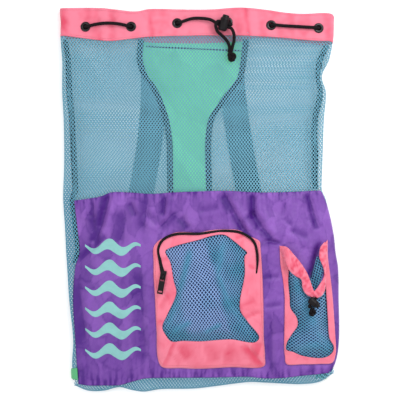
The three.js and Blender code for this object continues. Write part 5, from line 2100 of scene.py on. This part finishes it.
def gusset_point(u, v):
    """The pink gusset from its sewn edge up to the net."""
    spot = path_at(gusset_outer, 1 - u).lerp(path_at(gusset_inner, 1 - u), v)
    rise = lerp(GUSSET_LOW, GUSSET_HIGH, 1 - (1 - v) ** 2)
    folds = 1.5 * wrinkle(spot.x, spot.y, 26, 21) + 0.8 * wrinkle(spot.x, spot.y, 11, 22)
    folds += fold_relief(CREASES, spot.x, spot.y)
    return above_front(spot.x, spot.y, rise + folds * smoothstep(v, 0, 0.3))


def pink_shade_depth(x, y):
    """How far the pockets' pink cloth is darkened, from none to one: painted shade in its creases and
    crumpled facets, and darker in soft random patches.
    """
    creases = 0.75 * fold_shade_depth(CREASES, x, y, CREASE_FULL_SHADE)
    tone, line = facet_shade(x, y, 17, 26, 83)
    return creases + 0.2 * tone + 0.14 * line + 0.4 * wrinkle(x, y, 24, 27)


zip_net_outline = [
    Edge(*lerp(inner, outer, 0.16).xy) for outer, inner in zip(gusset_outer[:-1:4], gusset_inner[:-1:4])
]
zip_net_away = outline_distance(zip_net_outline)


def drifted(shape, seed):
    """A shape of a slack net, read where the net is pulled out of true in plan."""

    def at(x, y):
        away_x = NET_DRIFT * wrinkle(x, y, NET_DRIFT_SIZE, seed)
        away_y = NET_DRIFT * wrinkle(x, y, NET_DRIFT_SIZE, seed + 1)
        return shape(x + away_x, y + away_y)

    return at


def zip_net_point(x, y):
    away = zip_net_away(x, y)
    loose = smoothstep(away, 4, 28)
    folds = 3.4 * (1 - 2 * abs(wrinkle(x + 0.5 * y, 0.45 * y, 30, 23))) + 1.6 * wrinkle(x, y, 18, 24)
    folds += 3 * net_band(x, y)
    return above_front(x, y, ZIP_NET_EDGE + ZIP_NET_BULGE * smoothstep(away, 0, 34) + folds * loose)


zip_path = plan_path(ZIP_PATH, "x", "y", 10)


def zip_point(u, v):
    """The coil zip, ribbed along its length and narrower at its far end."""
    teeth = path_length(zip_path) / ZIP_TOOTH
    spot, ahead = path_at(zip_path, u), path_at(zip_path, u + 0.004)
    way = (ahead - path_at(zip_path, u - 0.004)).normalized()
    near_slider = 1 - smoothstep(u, 0.04, 0.2)
    off = (v - 0.5) * ZIP_WIDTH * (1 + 0.9 * near_slider - 0.6 * smoothstep(u, 0.88, 1))
    x, y = spot.x - way.y * off, spot.y + way.x * off
    crown = 1 - (2 * v - 1) ** 2
    ribs = 0.5 * math.sin(2 * math.pi * teeth * u) * crown
    gap = -0.7 * math.exp(-((v - 0.5) / 0.07) ** 2)
    return above_front(x, y, ZIP_HEIGHT + 1.2 * crown + ribs + gap)


class BACKPACK_OT_zip_pocket(bpy.types.Operator):
    """Add the zip pocket: its pink gusset, its slack net and its coil zip"""

    bl_idname = "backpack.zip_pocket"
    bl_label = "Zip pocket"

    def execute(self, context):
        sizes = context.scene.backpack_sizes
        bm = keep_painted_shade(cloth_grid(GUSSET_COLUMNS, 14, gusset_point), pink_shade_depth)
        bmesh.ops.remove_doubles(bm, verts=bm.verts, dist=MERGE)
        flat = sheet_flat(bm, GUSSET_COLUMNS, gusset_point)
        gusset = add_piece("zip_gusset", bm, "pink", ["zip_pocket_frame"])
        thicken(gusset, sizes.cloth_thick * EDGE_LAYERS)
        box = (-80, 110, -245, -45)
        inside = drifted(inside_outline(zip_net_outline), 25)
        place = drifted(zip_net_point, 25)
        add_pocket_net("zip_pocket_net", box, inside, place, ["zip_pocket_mesh"], 5)
        teeth = int(path_length(zip_path) / ZIP_TOOTH)
        bm = cloth_grid(4 * teeth, 8, zip_point)
        thicken(add_piece("zip_coil", bm, "zip", ["zip_chain"]), ZIP_THICK * MM)
        bm = bmesh.new()
        row = [gusset_point(k / 400, 0.1) + Vector((0, 0, 0.7)) for k in range(401)]
        stitch_row(bm, row, 3, 2.2, 0.6)
        stitches = add_piece("gusset_stitches", bm, "pink_thread")
        return {"FINISHED"}


def slider_matrix():
    return turned_place(SLIDER.x, SLIDER.y, front_height(SLIDER.x, SLIDER.y) + SLIDER.rise, SLIDER.turn)


class BACKPACK_OT_zip_slider(bpy.types.Operator):
    """Add the zip's slider, its bridge and its pull"""

    bl_idname = "backpack.zip_slider"
    bl_label = "Zip slider"

    def execute(self, context):
        bm = bmesh.new()
        scale = Matrix.Diagonal((SLIDER.wide * MM, SLIDER.long * MM, SLIDER.high * MM, 1))
        bmesh.ops.create_cube(bm, size=1, matrix=scale)
        bmesh.ops.subdivide_edges(bm, edges=bm.edges[:], cuts=2, use_grid_fill=True)
        for vert in bm.verts:
            back = smoothstep(-vert.co.y / MM, 0, SLIDER.long / 2)
            vert.co.x *= lerp(1, 0.7, back)
        bevel(bm, [edge for edge in bm.edges if edge.calc_face_angle(0) > SLIDER_SHARP], SLIDER_BEVEL)
        bmesh.ops.transform(bm, matrix=slider_matrix(), verts=bm.verts)
        add_piece("slider_body", bm, "zip", ["zip_slider"])
        points = []
        for k in range(13):
            angle = math.pi * k / 12
            up = SLIDER.high / 2 - 0.4 + 4.4 * math.sin(angle)
            points.append(Vector((0, BRIDGE_Y + 4 * math.cos(angle), up)))
        bm = tube(points, 0.9, 12)
        bmesh.ops.scale(bm, vec=(2, 1, 1), verts=bm.verts)
        bmesh.ops.transform(bm, matrix=slider_matrix(), verts=bm.verts)
        add_piece("slider_bridge", bm, "zip", ["zip_slider"])

        top = BRIDGE_Y + PULL.bar / 2
        foot = top - PULL.long
        columns = [-PULL.wide / 2, -PULL.eye_wide / 2, PULL.eye_wide / 2, PULL.wide / 2]
        rows = [
            foot,
            foot + PULL.slot_foot,
            foot + PULL.slot_foot + PULL.slot_long,
            top - PULL.bar - PULL.eye_long,
            top - PULL.bar,
            top,
        ]
        bm = plate_grid(columns, rows, {(1, 1), (1, 3)}, PULL.height)
        bmesh.ops.transform(bm, matrix=slider_matrix(), verts=bm.verts)
        piece = add_piece("pull_tab", bm, "zip", ["zip_pull"], "pull")
        round_edges(thicken(piece, PULL.thick * MM), PULL_EDGE * MM)
        return {"FINISHED"}


strip_outer = plan_path(SIDE_STRIPS, "x", "y", 8)
strip_inner = plan_path(SIDE_STRIPS, "in_x", "in_y", 8)
rim_upper = plan_path(RIM, "x", "y", 10)
rim_lower = plan_path(RIM, "in_x", "in_y", 10)
pouch_outline = [Edge(*lerp(b, a, 0.24).xy) for a, b in zip(strip_outer[8:-16:4], strip_inner[8:-16:4])]
pouch_outline += [Edge(*lerp(b, a, 0.5).xy) for a, b in zip(rim_upper[-30:12:-5], rim_lower[-30:12:-5])]
pouch_away = outline_distance(pouch_outline)
POCKET_TESTS = [inside_outline(outline) for outline in (zip_net_outline, pouch_outline, INNER_NET)]


def strip_point(u, v):
    spot = path_at(strip_outer, u).lerp(path_at(strip_inner, u), v)
    folds = 0.8 * wrinkle(spot.x, spot.y, 16, 31)
    return above_front(spot.x, spot.y, lerp(STRIP_LOW, STRIP_HIGH, v) + folds * v)


def pouch_point(x, y):
    away = pouch_away(x, y)
    folds = 3 * (1 - 2 * abs(wrinkle(0.5 * x, y + 0.4 * x, 24, 33))) + 1.4 * wrinkle(x, y, 12, 34)
    rise = POUCH_EDGE + POUCH_BULGE * smoothstep(away, 2, 28)
    near_rim = smoothstep(y, -190, -150)
    rise = lerp(rise, RIM_HEIGHT + 0.8 * RIM_ARCH - 3, near_rim * smoothstep(away, 4, 12))
    return above_front(x, y, rise + folds * smoothstep(away, 6, 18) * (1 - 0.6 * near_rim))


def rim_point(u, v):
    """The pink cinch channel: a flattened, ruffled tube along the pocket's mouth."""
    angle = 2 * math.pi * v
    lower, upper = path_at(rim_lower, u), path_at(rim_upper, u)
    across = 0.5 + 0.5 * math.cos(angle)
    spot = lower.lerp(upper, across)
    ruffle = 1 + 0.3 * wrinkle(60 * u, 0, 4, 35)
    ends = smoothstep(u, 0, 0.08) * (1 - smoothstep(u, 0.92, 1))
    arch = lerp(RIM_END_HEIGHT, RIM_HEIGHT, ends) + RIM_ARCH * math.sin(math.pi * u)
    pucker = 1.2 * wrinkle(60 * u, 2 * across, 2.6, 36) + 1.6 * wrinkle(spot.x, spot.y, 5, 36)
    half = lerp(0.9, RIM_HALF * ruffle, ends)
    return above_front(spot.x, spot.y, arch + half * math.sin(angle) + pucker * ends)


def rim_shade_depth(x, y):
    """How far the gathered channel is darkened, from none to one: a little all over, and more by painted
    shade in its puckers and facets and in soft random patches.
    """
    tone, line = facet_shade(x, y, 8, 8, 87)
    return 0.2 + 0.3 * tone + 0.2 * line + 1.1 * wrinkle(x, y, 5, 36) + 0.5 * wrinkle(x, y, 12, 37)


def inner_net_point(x, y):
    away = smoothstep(x, 180, 206)
    return above_front(x, y, 3 + 12 * away)


class BACKPACK_OT_side_pocket(bpy.types.Operator):
    """Add the side pocket: its pink strips, its slack net and its gathered mouth"""

    bl_idname = "backpack.side_pocket"
    bl_label = "Side pocket"

    def execute(self, context):
        sizes = context.scene.backpack_sizes
        bm = keep_painted_shade(cloth_grid(STRIP_COLUMNS, 8, strip_point), pink_shade_depth)
        bmesh.ops.reverse_faces(bm, faces=bm.faces)
        flat = sheet_flat(bm, STRIP_COLUMNS, strip_point)
        piece = add_piece("side_strips", bm, "pink", ["side_pocket_frame"])
        thicken(piece, sizes.cloth_thick * EDGE_LAYERS)
        bm = keep_painted_shade(close_seams(cloth_grid(240, 20, rim_point)), rim_shade_depth)
        rim = add_piece("side_rim", bm, "pink", ["side_pocket_rim"])
        box = (128, 236, -275, -105)
        inside = drifted(inside_outline(pouch_outline), 41)
        place = drifted(pouch_point, 41)
        nodes = ["side_pocket_mesh"]
        add_pocket_net("side_pocket_net", box, inside, place, nodes, 90)
        inner_box = (176, 212, -156, -88)
        inner = inside_outline(INNER_NET)
        add_pocket_net("side_pocket_inner_net", inner_box, inner, inner_net_point, [], 23)
        return {"FINISHED"}


def strap_surface(side):
    """A padded strap: a full flattened tube that narrows to its adjuster."""

    def place(u, v):
        y = lerp(STRAP_LOW, STRAP_TOP, v)
        half = lerp(STRAP_END_HALF, STRAP_HALF, smoothstep(y, STRAP_LOW, STRAP_LOW + STRAP_TAPER))
        angle = 2 * math.pi * u
        across, up = math.cos(angle), math.sin(angle)
        wide = math.copysign(abs(across) ** 0.45, across)
        high = math.copysign(abs(up) ** 0.7, up)
        bound = 1 - 0.35 * smoothstep(abs(wide), 0.72, 0.8)
        puff = 0.93 + 0.05 * wrinkle(wide * 20, y, 25, 51)
        z = STRAP_THICK / 2 * (1 + high * bound * puff)
        return Vector((strap_at[side](y) + wide * half, y, max(z, 0)))

    return place


def webbing_ends(side):
    """The middle of the adjuster, where the webbing starts, and where it ends."""
    middle = Vector((strap_at[side](STRAP_LOW), ADJUSTER_Y, 0))
    far = Vector((*WEBBING_END[side], 0))
    way = (far - middle).normalized()
    return middle, middle + way * (ADJUSTER.long / 2 + 0.4), far


class BACKPACK_OT_straps(bpy.types.Operator):
    """Add the shoulder straps, their webbing and adjusters, and the corner tabs"""

    bl_idname = "backpack.straps"
    bl_label = "Straps"

    def execute(self, context):
        sizes = context.scene.backpack_sizes
        for side in ("left", "right"):
            strap = close_seams(cloth_grid(40, 130, strap_surface(side)))
            piece = add_piece(f"shoulder_strap_{side}", strap, "strap", [f"strap_{side}"])

            middle, near, far = webbing_ends(side)
            way = (far - near).normalized()

            def webbing_point(u, v):
                spot = far.lerp(near, v) + Vector((-way.y, way.x, 0)) * (u - 0.5) * WEBBING_WIDTH
                return spot + Vector((0, 0, WEBBING_THICK / 2))

            bm = cloth_grid(WEBBING_COLUMNS, 80, webbing_point)
            flat = sheet_flat(bm, WEBBING_COLUMNS, webbing_point)
            piece = add_piece(f"strap_webbing_{side}", bm, "webbing", [f"webbing_{side}"])
            thicken(piece, WEBBING_THICK * MM)

            slot, apart = ADJUSTER.slot_long, ADJUSTER.slot_apart
            columns = [-ADJUSTER.wide / 2, -ADJUSTER.slot_wide / 2, ADJUSTER.slot_wide / 2, ADJUSTER.wide / 2]
            rows = [-ADJUSTER.long / 2, -apart / 2 - slot / 2, -apart / 2 + slot / 2]
            rows += [-row for row in rows[::-1]]
            bm = plate_grid(columns, rows, {(1, 1), (1, 3)}, ADJUSTER.thick / 2)
            turn = math.degrees(math.atan2(way.x, -way.y))
            bmesh.ops.transform(bm, matrix=turned_place(middle.x, middle.y, 0, turn), verts=bm.verts)
            name = f"strap_adjuster_{side}"
            piece = add_piece(name, bm, "adjuster", [f"adjuster_{side}"])
            round_edges(thicken(piece, ADJUSTER.thick * MM), ADJUSTER_EDGE * MM)

        runs = {
            "left": lambda u, y: lerp(-FOLD_BEND - TAB_UNDER, 1, u),
            "right": lambda u, y: front_span(y) + lerp(FOLD_BEND * 0.8, FOLD_BEND + TAB_UNDER, u),
        }
        for side, run in runs.items():
            def tab_middle(u, v):
                pinch = TAB_PINCH * math.exp(-(((u - 0.65) / 0.2) ** 2))
                y = lerp(TAB_LOW + pinch, TAB_TOP - pinch, v)
                return sack_point(run(u, y), y)

            def tab_point(u, v):
                return raised(tab_middle, u, v, TAB_LIFT)

            bm = cloth_grid(TAB_COLUMNS, 12, tab_point)
            flat = sheet_flat(bm, TAB_COLUMNS, tab_point)
            piece = add_piece(f"green_tab_{side}", bm, "tab", [f"corner_tab_{side}"])
            thicken(piece, sizes.cloth_thick * TAB_LAYERS)
        return {"FINISHED"}


class BACKPACK_PT_panel(bpy.types.Panel):
    """Lists the backpack's operators and settings"""

    bl_idname = "BACKPACK_PT_panel"
    bl_label = "Mesh swim backpack"
    bl_space_type = "VIEW_3D"
    bl_region_type = "UI"
    bl_category = "Backpack"

    def draw(self, context):
        for operator in OPERATORS:
            self.layout.operator(operator.bl_idname)
        for settings in (context.scene.backpack_sizes, context.scene.backpack_colours):
            for name in settings.__annotations__:
                self.layout.prop(settings, name)


OPERATORS = (
    BACKPACK_OT_stage,
    BACKPACK_OT_cords,
    BACKPACK_OT_front_net,
    BACKPACK_OT_front_panel,
    BACKPACK_OT_back_nets,
    BACKPACK_OT_yoke,
    BACKPACK_OT_hem,
    BACKPACK_OT_eyelets,
    BACKPACK_OT_locks,
    BACKPACK_OT_zip_pocket,
    BACKPACK_OT_zip_slider,
    BACKPACK_OT_side_pocket,
    BACKPACK_OT_straps,
)
CLASSES = (BackpackSizes, BackpackColours, *OPERATORS, BACKPACK_PT_panel)


def register():
    for made in CLASSES:
        bpy.utils.register_class(made)
    bpy.types.Scene.backpack_sizes = PointerProperty(type=BackpackSizes)
    bpy.types.Scene.backpack_colours = PointerProperty(type=BackpackColours)


def unregister():
    del bpy.types.Scene.backpack_colours
    del bpy.types.Scene.backpack_sizes
    for made in reversed(CLASSES):
        bpy.utils.unregister_class(made)


def main():
    """Builds every piece in order."""
    register()
    for operator in OPERATORS:
        group, name = operator.bl_idname.split(".")
        getattr(getattr(bpy.ops, group), name)()
    bpy.context.view_layer.update()


if __name__ == "__main__":
    main()
